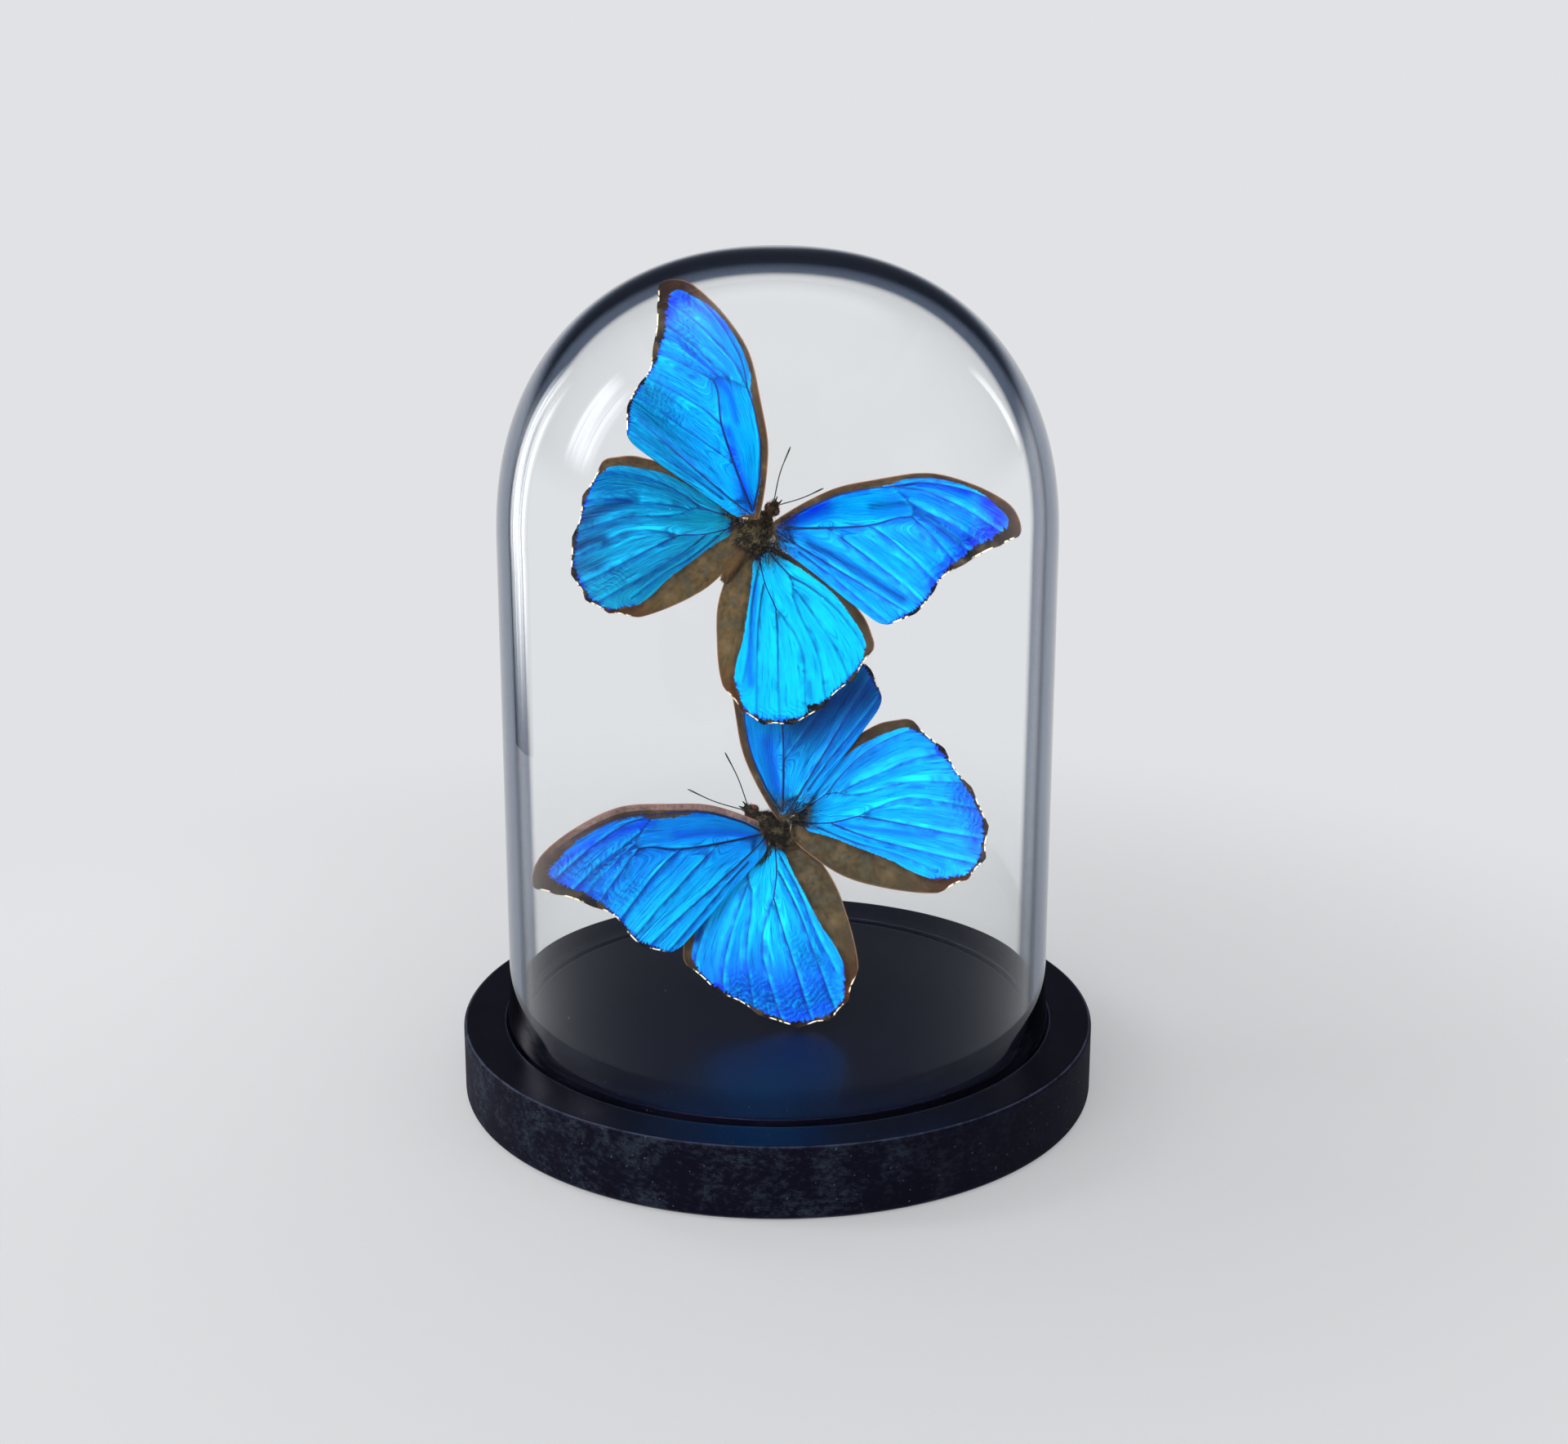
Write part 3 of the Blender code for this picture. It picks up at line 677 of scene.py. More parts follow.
def finish_tree(graph, geometry, material):
    """Makes a tree's geometry real and smooth, and gives it its material."""
    real = graph.node("GeometryNodeRealizeInstances", inputs={"Geometry": geometry})
    smooth = graph.node("GeometryNodeSetShadeSmooth", inputs={"Geometry": real})
    done = graph.node("GeometryNodeSetMaterial", inputs={"Geometry": smooth, "Material": material})
    graph.node("NodeGroupOutput", inputs={"Geometry": done}, output=None)


def fur_tree():
    """Tapered hairs scattered over a mesh, lying along its lie attribute, thick where its down is."""
    tree, graph, given = node_tree(
        "fur", Density="Float", Length="Float", Width="Float", Stand="Float", Spread="Float",
        Seed="Int", Material="Material",
    )

    def attribute(name, kind="FLOAT"):
        return graph.node("GeometryNodeInputNamedAttribute", {"data_type": kind}, {"Name": name})

    def scaled(vector, factor):
        return graph.node("ShaderNodeVectorMath", {"operation": "SCALE"}, {0: vector, "Scale": factor})

    def added(first, second):
        return graph.node("ShaderNodeVectorMath", {"operation": "ADD"}, {0: first, 1: second})

    def random(kind, low, high, seed):
        low_socket, high_socket, output = {"FLOAT": (2, 3, 1), "FLOAT_VECTOR": (0, 1, 0)}[kind]
        return graph.node(
            "FunctionNodeRandomValue", {"data_type": kind},
            {low_socket: low, high_socket: high, "Seed": seed}, output=output,
        )

    points = graph.node("GeometryNodeDistributePointsOnFaces", inputs={
        "Mesh": given["Geometry"], "Density": given["Density"] * attribute("down"), "Seed": given["Seed"],
    })
    upright = Value(graph, points.socket.node.outputs["Normal"])
    stray = random("FLOAT_VECTOR", (-1, -1, -1), (1, 1, 1), 3)
    lean = added(attribute("lie", "FLOAT_VECTOR"), scaled(upright, given["Stand"]))
    lean = added(lean, scaled(stray, given["Spread"]))
    turn = graph.node("FunctionNodeAlignRotationToVector", {"axis": "Z"}, {"Vector": lean})
    width = given["Width"] * random("FLOAT", 0.6, 1.3, 5)
    length = given["Length"] * random("FLOAT", 0.45, 1.2, 7) * attribute("length")
    size = graph.node("ShaderNodeCombineXYZ", inputs={0: width, 1: width, 2: length})
    hair = graph.node("GeometryNodeMeshCone", {"fill_type": "NONE"}, {
        "Vertices": 3, "Side Segments": 1, "Radius Top": 0.0, "Radius Bottom": 1.0, "Depth": 1.0,
    })
    hairs = graph.node("GeometryNodeInstanceOnPoints", inputs={
        "Points": points, "Instance": hair, "Rotation": turn, "Scale": size,
    })
    finish_tree(graph, hairs, given["Material"])
    return tree


RODS = rod_tree()
FUR = fur_tree()


def add_rods(name, paths, material, sides=10):
    """Rods along paths. Each path is a list of (place in metres, radius in millimetres, run)."""
    places, edges, radius, run = [], [], [], []
    for path in paths:
        start = len(places)
        for place, thick, along in path:
            places.append(tuple(place))
            radius.append(thick * MM)
            run.append(along)
        edges += [(i, i + 1) for i in range(start, len(places) - 1)]
    mesh = bpy.data.meshes.new(name)
    mesh.from_pydata(places, edges, [])
    store(mesh, "radius", radius)
    store(mesh, "run", run)
    return run_tree(add_piece(name, mesh), RODS, Sides=sides, Material=material)


def store(mesh, name, values):
    """Keeps numbers, or rows of three, on a mesh's points."""
    values = np.asarray(values, dtype=np.float32)
    kind, field = ("FLOAT", "value") if values.ndim == 1 else ("FLOAT_VECTOR", "vector")
    mesh.attributes.new(name, kind, "POINT").data.foreach_set(field, values.ravel())


def keep_fur(mesh, lie, down, length, run):
    """Keeps on a mesh how its fur lies, how dense and how long it is, and where on the body it is."""
    for name, values in (("lie", lie), ("down", down), ("length", length), ("run", run)):
        store(mesh, name, values)


# ---------------------------------------------------------------- board and glass


def board_finish():
    """Cloudy black paint, dusty and mottled on the side with the dust painted brighter on the lit left,
    pale edges partly from wear and partly painted highlight, a painted highlight on the lip beside the
    groove, and a few pale specks.
    """
    finish = Finish("black_satin_paint")
    x, y, z = finish.parts(finish.place)
    radius = (x * x + y * y) ** 0.5
    side = finish.rise(radius, (BOARD_RADIUS - 0.5) * MM, (BOARD_RADIUS - 0.15) * MM)
    cloud = finish.noise(finish.place, 90, 6, 0.62)
    grain = finish.noise(finish.scaled(finish.place, (1, 1, 1.6)), 520, 5, 0.75)
    dust = finish.rise(cloud * 0.6 + grain * 0.75, 0.62, 0.86)
    # painted light: dust on the side shows brighter towards the lit left
    lit_side = 0.2 + 0.8 * finish.rise(x, 0.065, 0.0)
    arris = finish.rise(radius, (BOARD_RADIUS - 1.0) * MM, (BOARD_RADIUS - 0.6) * MM) * (1 - side)
    from_groove = radius - (DOME_RADIUS + FOOT_BEAD + GROOVE_PLAY + 0.1) * MM
    groove = finish.rise(abs(from_groove), 0.3 * MM, 0.12 * MM)
    top = finish.rise(z, (BOARD_THICKNESS - 0.8) * MM, (BOARD_THICKNESS - 0.4) * MM)
    # the arris paled partly by wear and partly as painted highlight; the lip beside the groove as painted
    # highlight only
    worn_and_highlit = arris * finish.rise(grain + cloud, 0.7, 1.15) + groove * top * 0.4
    specks = finish.rise(finish.noise(finish.place, 1500, 0), 0.82, 0.86)
    paint = finish.layered(
        (0.01, 0.016, 0.04),
        (finish.rise(cloud, 0.35, 0.7), (0.02, 0.03, 0.06)),
        (side, (0.015, 0.03, 0.05)),
        (dust * side * lit_side * 0.8, (0.2, 0.245, 0.27)),
        (worn_and_highlit * 0.8, (0.27, 0.3, 0.36)),
        (specks * 0.5, (0.5, 0.52, 0.55)),
    )
    smear = finish.noise(finish.scaled(finish.place, (1, 0.35, 1)), 38, 3, 0.6)
    return finish.surface(finish.shader(
        paint, roughness=0.28 + 0.14 * smear + 0.4 * side, normal=finish.bump(grain * side, 0.12, 0.6),
        specular_ior_level=0.34, specular_tint=linear((0.76, 0.7, 1.0)),
    ))


def make_board():
    inner = DOME_RADIUS - GLASS - GROOVE_PLAY
    outer = DOME_RADIUS + FOOT_BEAD + GROOVE_PLAY
    edge, top, floor = BOARD_RADIUS, BOARD_THICKNESS, BOARD_THICKNESS - GROOVE_DEPTH
    lip, margin = GROOVE_LIP, ARRIS_MARGIN
    profile = [(0, top), (inner - 1, top)]
    profile += arc((inner - lip, top - lip), lip, 90, 0, 3)
    profile += [(inner, floor), (outer, floor)]
    profile += arc((outer + lip, top - lip), lip, 180, 90, 3)
    profile += [(outer + 1, top), (edge - TOP_ARRIS - margin, top)]
    profile += arc((edge - TOP_ARRIS, top - TOP_ARRIS), TOP_ARRIS, 90, 0, 6)
    profile += [(edge, top - TOP_ARRIS - margin), (edge, BOTTOM_ARRIS + margin)]
    profile += arc((edge - BOTTOM_ARRIS, BOTTOM_ARRIS), BOTTOM_ARRIS, 0, -90, 8)
    profile += [(edge - BOTTOM_ARRIS - margin, 0), (0, 0)]
    board = turned("turned_board", profile, board_finish())
    for (x, y, _), *_ in WIRE_PATHS.values():
        drill_hole(board, Vector((x, y, top)) * MM)
    board.data.shade_smooth()
    board.data.set_sharp_from_angle(angle=radians(30))
    belongs(board, "black_satin_paint", "base_board")


def drill_hole(board, mouth):
    shape = bmesh.new()
    bmesh.ops.create_cone(
        shape, cap_ends=True, segments=24, radius1=WIRE_HOLE_RADIUS * MM, radius2=WIRE_HOLE_RADIUS * MM,
        depth=2 * WIRE_HOLE_DEPTH * MM, matrix=Matrix.Translation(mouth),
    )
    drill = add_piece("drill", mesh_from("drill", shape))
    cut = board.modifiers.new("drill", "BOOLEAN")
    cut.operation, cut.object, cut.solver = "DIFFERENCE", drill, "EXACT"
    settled(board)
    bpy.data.objects.remove(drill, do_unlink=True)


def crown(radius, height):
    """The crown's arch from its top down to the straight wall, a little squarer than an ellipse."""
    power = 2 / CROWN_SQUARENESS
    angles = [pi / 2 * i / CROWN_RINGS for i in range(CROWN_RINGS + 1)]
    return [(radius * sin(a) ** power, CROWN_START + height * max(cos(a), 0) ** power) for a in angles]


def glass_finish():
    """Clear glass with a painted grey-blue reflection along its edge, where the wall is seen edge on, and a
    few dust specks and fine scratches.
    """
    finish = Finish("clear_glass")
    facing = finish.node("ShaderNodeLayerWeight", inputs={"Blend": 0.5}, output="Facing")
    # painted reflection: a dark grey-blue band where the wall is seen edge on
    rim = finish.rise(facing, 0.64, 0.7)
    clear_with_rim_reflection = finish.mix(rim, (0.995, 0.998, 0.998), (0.2, 0.25, 0.34))
    specks = finish.rise(finish.noise(finish.place, 900, 1), 0.82, 0.86)
    cuts = finish.rise(finish.noise(finish.scaled(finish.place, (1, 1, 0.03)), 1300, 1), 0.86, 0.9)
    patch = finish.rise(finish.noise(finish.place, 22, 1), 0.5, 0.62)
    dust = specks.or_more(cuts * patch)
    glass = finish.shader(
        clear_with_rim_reflection, roughness=dust * 0.35, ior=1.45, transmission_weight=1.0,
        specular_tint=linear((0.45, 0.49, 0.55)),
    )
    path = finish.node("ShaderNodeLightPath", output="Is Shadow Ray")
    through = finish.node("ShaderNodeBsdfTransparent", inputs={"Color": linear((0.985, 0.99, 0.992))})
    return finish.surface(finish.node("ShaderNodeMixShader", inputs={0: path, 1: glass, 2: through}))


def make_dome():
    inner = DOME_RADIUS - GLASS
    foot = BOARD_THICKNESS - GROOVE_DEPTH + GAP
    middle = BOARD_THICKNESS + FOOT_BEAD_RISE
    profile = crown(DOME_RADIUS, OVERALL_HEIGHT - CROWN_START)
    profile += [(DOME_RADIUS, z) for z in WALL_RINGS]
    steps = np.linspace(*FOOT_BEAD_REACH, FOOT_BEAD_RINGS)
    profile += [(DOME_RADIUS + FOOT_BEAD * exp(-(t**2)), middle + t * FOOT_BEAD_HEIGHT) for t in steps]
    profile += arc((DOME_RADIUS - GLASS / 2, foot + GLASS / 2), GLASS / 2, -20, -180, 14)
    profile += [(inner, foot + GLASS / 2 + rise) for rise in (0.3, 0.8, 2, 5)]
    profile += [(inner, z) for z in reversed(WALL_RINGS)]
    profile += reversed(crown(inner, OVERALL_HEIGHT - GLASS - CROWN_START))
    dome = turned("blown_dome", profile, glass_finish(), 60)
    belongs(dome, "clear_glass", "glass_dome")


# ---------------------------------------------------------------- wings


def outline(plan, size):
    """The wing's flat outline in millimetres, closed, with its scalloped outer margin."""
    points = [Vector(p) * plan["span"] * size for p in plan["outline"]]
    first, last = plan["margin"]
    count = len(points)
    around = []
    for k in range(count):
        near = [points[(k + offset) % count] for offset in (-1, 0, 1, 2)]
        steps = 1 if k == count - 1 else SAMPLES_PER_STRETCH
        for step in range(steps):
            t = step / steps
            place = catmull_rom(*near, t)
            along = (k + t - first) / (last - first)
            if 0 < along < 1:
                ahead = (near[2] - near[0]).normalized()
                inward = Vector((ahead.y, -ahead.x))
                bite = abs(sin(pi * plan["scallops"] * along))
                place += inward * plan["scallop_depth"] * size * bite
            around.append((place.x, place.y, along))
    return np.array(around)


def reach(places, path):
    """Distance from each place to a path, and how far along the path it is nearest, from 0 to 1."""
    path = np.asarray(path, dtype=float)
    start, step = path[:-1], np.diff(path, axis=0)
    offset = places[:, None, :] - start[None]
    length = (step**2).sum(1)
    t = np.clip((offset * step).sum(2) / np.maximum(length, 1e-12), 0, 1)
    gap = np.linalg.norm(offset - t[..., None] * step, axis=2)
    nearest = gap.argmin(1)
    rows = np.arange(len(places))
    return gap[rows, nearest], (nearest + t[rows, nearest]) / len(step)


def inside(places, loop):
    """Whether each place is within a closed loop."""
    x, y = places[:, :1], places[:, 1:2]
    ax, ay = loop[:, 0], loop[:, 1]
    bx, by = np.roll(ax, -1), np.roll(ay, -1)
    crosses = (ay > y) != (by > y)
    at = ax + (y - ay) / np.where(by == ay, 1e-9, by - ay) * (bx - ax)
    return (crosses & (x < at)).sum(1) % 2 == 1


def closed(loop):
    return np.vstack([loop, loop[:1]])


def drawn(path, span, samples=24):
    """A path given in spans, smoothed, in millimetres."""
    return np.array([tuple(p) for p in smooth_path([(*p, 0) for p in path], samples)])[:, :2] * span


def dome_of(gap, width):
    """1 on a line, falling off to its sides."""
    return np.exp(-((gap / width) ** 2))


class Wing:
    """One wing: its plan and size, its flat rim in millimetres, and how its sheet curls and stands."""

    def __init__(self, butterfly, wing, plan, centre, seed):
        root, (sweep, lift, pitch), self.curl = plan["wings"][wing]
        self.butterfly, self.seed, self.size = butterfly, seed, plan["size"]
        self.name = f"{butterfly}_{wing}"
        self.kind, hand = wing.split("_")
        self.slot = f"{self.kind}_blue"
        self.plan = WING_KINDS[self.kind]
        self.span = self.plan["span"] * self.size
        self.side = side = SIDES[hand]
        swept = Matrix.Rotation(radians(side * sweep), 4, "Z")
        lifted = Matrix.Rotation(radians(-side * lift), 4, "Y")
        pitched = Matrix.Rotation(radians(pitch), 4, "X")
        self.stand = centre @ Matrix.Translation(Vector(root) * MM) @ (swept @ lifted) @ pitched
        around = outline(self.plan, self.size)
        self.rim, self.phase = around[:, :2], around[:, 2]

    def height(self, places):
        """How far the sheet rises off its flat: bow, cup and twist, then veins, folds and waves."""
        bow, cup, twist = self.curl
        along, across = places[:, 0] / BOW_SPAN, places[:, 1] / CUP_CHORD
        height = bow * along**2 + cup * across**2 + twist * along * across
        away = np.clip(np.linalg.norm(places, axis=1) / FLAT_ROOT, 0, 1) ** 2
        for *_, path in self.plan["veins"]:
            gap, _ = reach(places, drawn(path, self.span))
            height += VEIN_RIDGE * away * dome_of(gap, VEIN_RIDGE_WIDTH)
        for depth, width, path in self.plan["folds"]:
            gap, t = reach(places, drawn(path, self.span))
            fade = np.sin(pi * np.clip(t, 0.04, 0.96)) ** 0.5
            height -= depth * fade * away * dome_of(gap, width)
        waves = np.array([noise.noise((x / WAVE_SIZE, y / WAVE_SIZE, self.seed)) for x, y in places])
        return height + WAVE_HEIGHT * away * waves

    def world(self, places):
        """Flat places as points of the standing sheet, in metres."""
        flat = np.column_stack([self.side * places[:, 0], places[:, 1], self.height(places)]) * MM
        return flat @ np.array(self.stand.to_3x3()).T + np.array(self.stand.translation)


def vein_field(places, plan, span):
    """Distance to the nearest vein, a number that runs evenly from vein to vein across the wing, and the
    side of the nearest vein: 1 in front of it, -1 behind."""
    nearest, front = np.full(len(places), 99.0), np.ones(len(places))
    total, weights = np.zeros(len(places)), np.zeros(len(places))
    for order, _, _, path in plan["veins"]:
        line = drawn(path, span)
        gap, t = reach(places, line)
        k = np.minimum((t * (len(line) - 1)).astype(int), len(line) - 2)
        (dx, dy), (ox, oy) = (line[k + 1] - line[k]).T, (places - line[k]).T
        front = np.where(gap < nearest, np.sign(dx * oy - dy * ox), front)
        nearest = np.minimum(nearest, gap)
        if order is not None:
            weight = 1 / (gap**2 + 0.3)
            total += weight * order
            weights += weight
    return nearest, total / weights, front


def wing_grid(wing):
    """The sheet's flat places, in rings from the hub to the rim, and its faces."""
    count = len(wing.rim)
    hub = np.array(wing.plan["hub"]) * wing.span
    reaches = [1 - (1 - r / WING_RINGS) ** RING_CROWDING for r in range(1, WING_RINGS + 1)]
    places = np.vstack([[hub]] + [hub + (wing.rim - hub) * t for t in reaches])
    faces = []
    for i in range(count):
        j = (i + 1) % count
        faces.append((0, 1 + j, 1 + i))
        for ring in range(WING_RINGS - 1):
            inner, outer = 1 + ring * count, 1 + (ring + 1) * count
            faces.append((inner + i, inner + j, outer + j, outer + i))
    return places, [face[::-1] for face in faces] if wing.side < 0 else faces


def mark_wing(mesh, wing, places):
    """Keeps on the sheet's points what its finishes read, in millimetres where it is a distance."""
    plan, span, loop = wing.plan, wing.span, closed(wing.rim)
    edge, t = reach(places, loop)
    stops, at = np.arange(len(loop)), t * (len(loop) - 1)
    rim_run = np.concatenate([[0], np.cumsum(np.linalg.norm(np.diff(loop, axis=0), axis=1))])
    blue = closed(drawn((*plan["blue"], plan["blue"][0]), span, 160))
    field, _ = reach(places, blue)
    vein, across, front = vein_field(places, plan, span)
    zero = np.zeros(len(places))
    store(mesh, "edge", edge)
    store(mesh, "field", np.where(inside(places, blue), field, -field))
    store(mesh, "vein", vein)
    store(mesh, "front", front * vein * VEIN_SHADE[wing.name][0])
    store(mesh, "margin", np.interp(at, stops, np.append(wing.phase, wing.phase[-1])))
    store(mesh, "flow", np.column_stack([np.linalg.norm(places, axis=1), across * VEIN_SPACING, zero]))
    store(mesh, "fringe", np.column_stack([np.interp(at, stops, rim_run), edge, zero]))
    for paint in ("violet", "dark", "light", "brown", "pleat"):
        total = zero
        for kind, width, strength, path in WING_STROKES[wing.name]:
            if kind == paint:
                gap, _ = reach(places, drawn(path, span))
                total = np.maximum(total, strength * dome_of(gap, width))
        store(mesh, paint, total)
    corners = np.empty(len(mesh.loops), dtype=np.int32)
    mesh.loops.foreach_get("vertex_index", corners)
    uv = (places[corners] / span).astype(np.float32).ravel()
    mesh.uv_layers.new(name="flat").data.foreach_set("uv", uv)


def add_wing(wing):
    places, faces = wing_grid(wing)
    mesh = bpy.data.meshes.new(wing.name)
    mesh.from_pydata(wing.world(places).tolist(), [], faces)
    mesh.shade_smooth()
    mark_wing(mesh, wing, places)
    piece = add_piece(f"{wing.name}_sheet", mesh, WingFinish(wing).finished(), under_finish(wing))
    sheet = piece.modifiers.new("sheet", "SOLIDIFY")
    sheet.thickness = WING_SHEET * MM
    sheet.offset = 0
    sheet.material_offset = 1
    sheet.material_offset_rim = 0
    settled(piece)
    belongs(piece, wing.slot, wing.name)
    add_root_hair(wing)
    add_veins(wing)


def add_veins(wing):
    paths = []
    for _, wide, narrow, path in wing.plan["veins"]:
        line = drawn(path, wing.span, 40)
        gap, _ = reach(line, closed(wing.rim))
        line = line[inside(line, wing.rim) & (gap > VEIN_STOP)]
        steps = np.linspace(0, 1, len(line))
        radii = (wide + (narrow - wide) * steps) / 2 * wing.size
        paths.append(list(zip(wing.world(line), radii, steps)))
    belongs(add_rods(f"{wing.name}_veins", paths, vein_finish(), 6), wing.slot)


def add_root_hair(wing):
    """Hair that lies outwards over the wing's root, from the middle to both sides."""
    middle, half = ROOT_HAIR_SPREAD[wing.kind]
    count = ROOT_HAIR_GRID
    reaches, offsets = np.linspace(*ROOT_HAIR_REACH, count), np.linspace(-half, half, count)
    out, forward = np.meshgrid(reaches, offsets, indexing="ij")
    flat = np.column_stack([out.ravel(), (middle + forward * (0.6 + 0.07 * out)).ravel()]) * wing.size
    spots = wing.world(flat)
    lie = wing.world(flat * (1.3, 1.1)) - spots
    lie /= np.linalg.norm(lie, axis=1)[:, None]
    fade = np.clip(1.15 - out.ravel() / 5.5, 0.03, 1)
    corners = [i * count + j for i in range(count - 1) for j in range(count - 1)]
    faces = [(k, k + count, k + count + 1, k + 1) for k in corners]
    mesh = bpy.data.meshes.new(wing.name)
    mesh.from_pydata(spots.tolist(), [], faces)
    keep_fur(mesh, lie, fade, 0.5 + 0.6 * fade, 2 + 0 * fade)
    hairs = add_piece(f"{wing.name}_root_hair", mesh)
    run_tree(hairs, FUR, **ROOT_HAIR, Material=fur_finish("root_hair", *ROOT_HAIR_COLOURS))
    belongs(hairs, "body_fur")


class WingFinish(Finish):
    """A wing's upper side: blue scales with painted shade and sheen in streaks and creases, and brown
    margins.
    """

    def __init__(self, wing):
        super().__init__(f"{wing.name}_scales")
        self.wing, self.forewing = wing, wing.kind == "forewing"
        self.flat = self.node("ShaderNodeUVMap", {"uv_map": "flat"})
        self.u, self.v, _ = self.parts(self.flat)
        self.flow, self.fringe = self.arrow("flow"), self.arrow("fringe")
        self.along, across, _ = self.parts(self.flow)
        self.edge, self.field, self.margin = (self.attribute(n) for n in ("edge", "field", "margin"))
        self.spread = self.scaled(self.flat, (wing.span, wing.span, 1))
        self.streaks = self.noise(self.scaled(self.flow, (0.1, 1.1, 1)), 1.0, 3, 0.6)
        self.fine = self.noise(self.scaled(self.flow, (0.22, 3.0, 1)), 1.0, 2, 0.6)
        self.clouds = self.noise(self.spread, 0.11, 3, 0.55)
        self.patches = self.noise(self.spread, 0.3, 2, 0.5)
        self.mottle = self.noise(self.spread, 0.9, 4, 0.7)
        self.on_margin = self.rise(self.margin, 0.0, 0.02) * self.rise(self.margin, 1.0, 0.98)
        # crimps run slantwise from vein to vein
        run = self.along * 0.62 + across * 0.3 + 2.6 * self.patches + 0.7 * self.mottle
        self.crimp = run.back_and_forth(0.5) * 2
        self.pleated = self.attribute("pleat") * self.rise(self.mottle, 0.36, 0.52)

    def blue(self):
        """The blues as each wing is lit, with painted shade and sheen in streaks, creases, pleats and
        beside the veins, and painted violet iridescence at the margin and along strokes.
        """
        near, far, rear = LIT_WING_BLUES[self.wing.name]
        streaks, fine, crimp, span = self.streaks, self.fine, self.crimp, self.wing.span
        rear_from = (-0.02, -0.3) if self.forewing else (-0.1, -0.3)
        # painted iridescence: violet along the strokes and near the margin
        violet = self.attribute("violet") * self.rise(streaks + fine, 0.7, 1.1)
        by_margin = self.on_margin * self.rise(self.field + 5 * (fine - 0.5), 1.1, 0.2) * 0.7
        # painted shade on the lee side of each vein, painted light on the other side
        front, broken = self.attribute("front"), self.rise(streaks + self.patches, 0.75, 1.15)
        depth = VEIN_SHADE[self.wing.name][1] * broken * self.rise(self.along, 3, 0.35 * span)
        falloff = 1.9 + 1.6 * (fine - 0.5)
        lee = depth * self.rise(front, 0, 0.15) * self.rise(front / falloff, 1.0, 0.1)
        lit = depth * 0.6 * self.rise(front, -0.1, -0.3) * self.rise(front, -1.6, -0.4)
        outward = self.rise(self.along, 4, 0.6 * span)
        by_vein = self.rise(self.attribute("vein"), 0.6, 0.12) * (0.75 - 0.35 * outward)
        shade = (self.attribute("dark") * 0.85).or_more(by_vein)
        # streaks, fine streaks and pleat crimps are painted shade in navy and painted sheen in cyan
        return self.layered(
            near,
            (self.rise(self.u + 0.3 * (self.clouds - 0.5), 0.15, 0.75), far),
            (self.rise(self.v + 0.2 * (streaks - 0.5), *rear_from) * 0.8, rear),
            (self.attribute("light") * self.rise(streaks, 0.3, 0.65), SHEEN_CYAN),
            (self.rise(streaks, 0.5, 0.3) * 0.45, CREASE_SHADE_NAVY),
            (self.rise(streaks, 0.54, 0.72) * 0.45, SHEEN_CYAN),
            (self.rise(fine, 0.56, 0.72) * 0.5, SHEEN_CYAN),
            (self.rise(fine, 0.46, 0.28) * 0.5, CREASE_SHADE_NAVY),
            (violet.or_more(by_margin), IRIDESCENT_VIOLET),
            (self.pleated * self.rise(crimp, 0.7, 0.92) * 0.6, SHEEN_CYAN),
            (lee, FOLD_SHADE_BLUE),
            (lit, SHEEN_CYAN),
            (shade.or_more(self.pleated * self.rise(crimp, 0.42, 0.12) * 0.9), CREASE_SHADE_NAVY),
        )

    def brown(self):
        return self.layered(
            self.forewing_brown() if self.forewing else self.hindwing_brown(),
            (self.rise(self.mottle, 0.62, 0.3) * 0.5, MARGIN_BLACK),
            (self.rise(self.clouds, 0.5, 0.7) * 0.2, UNDER_BAND),
            (self.rise(self.clouds, 0.5, 0.36) * 0.35, MARGIN_BLACK),
        )

    def forewing_brown(self):
        bared = self.rise(self.edge, 1.9, 1.5) if self.wing.name == RUBBED_WING else 0.0
        return self.layered(
            COSTA_BROWN,
            (bared, BARED_COSTA),
            (self.rise(self.u, 0.75, 0.95), APEX_BROWN),
            (self.rise(self.v, 0.02, -0.1), MARGIN_BLACK),
        )

    def hindwing_brown(self):
        anal = self.rise(self.v, -0.02, -0.12)
        fold = self.rise(self.u + 0.2 * (self.clouds - 0.5), 0.55, 0.85)
        costal = self.rise(self.v, 0.05, 0.18) * self.rise(self.u, 0.72, 0.58)
        olive = self.layered(
            ANAL_OLIVE[self.wing.butterfly],
            (self.rise(self.streaks, 0.5, 0.32) * 0.6, ANAL_SHADE),
            (self.rise(self.patches, 0.5, 0.64) * 0.6, ANAL_GREY),
        )
        return self.layered(
            MARGIN_BLACK,
            (costal, COSTA_BROWN),
            (anal, olive),
            (anal * fold, ANAL_RUST),
            (self.rise(self.u, 0.88, 0.93), MARGIN_BLACK),
            (anal * self.rise(self.field, -2.2, -0.2) * 0.55, MARGIN_BLACK),
        )

    def relief(self, is_blue):
        grain = self.noise(self.spread, 6, 2, 0.7)
        ripple = self.noise(self.scaled(self.flow, (1.3, 0.16, 1)), 1.0, 2, 0.5, 0.4)
        relief = self.bump(self.streaks, 0.8 if self.forewing else 0.6, 0.3 + 0.5 * is_blue)
        relief = self.bump(self.crimp * self.pleated, 0.5, 0.9, relief)
        relief = self.bump(ripple, 0.12, 0.5, relief)
        return self.bump(grain, 0.05, 0.5, relief)

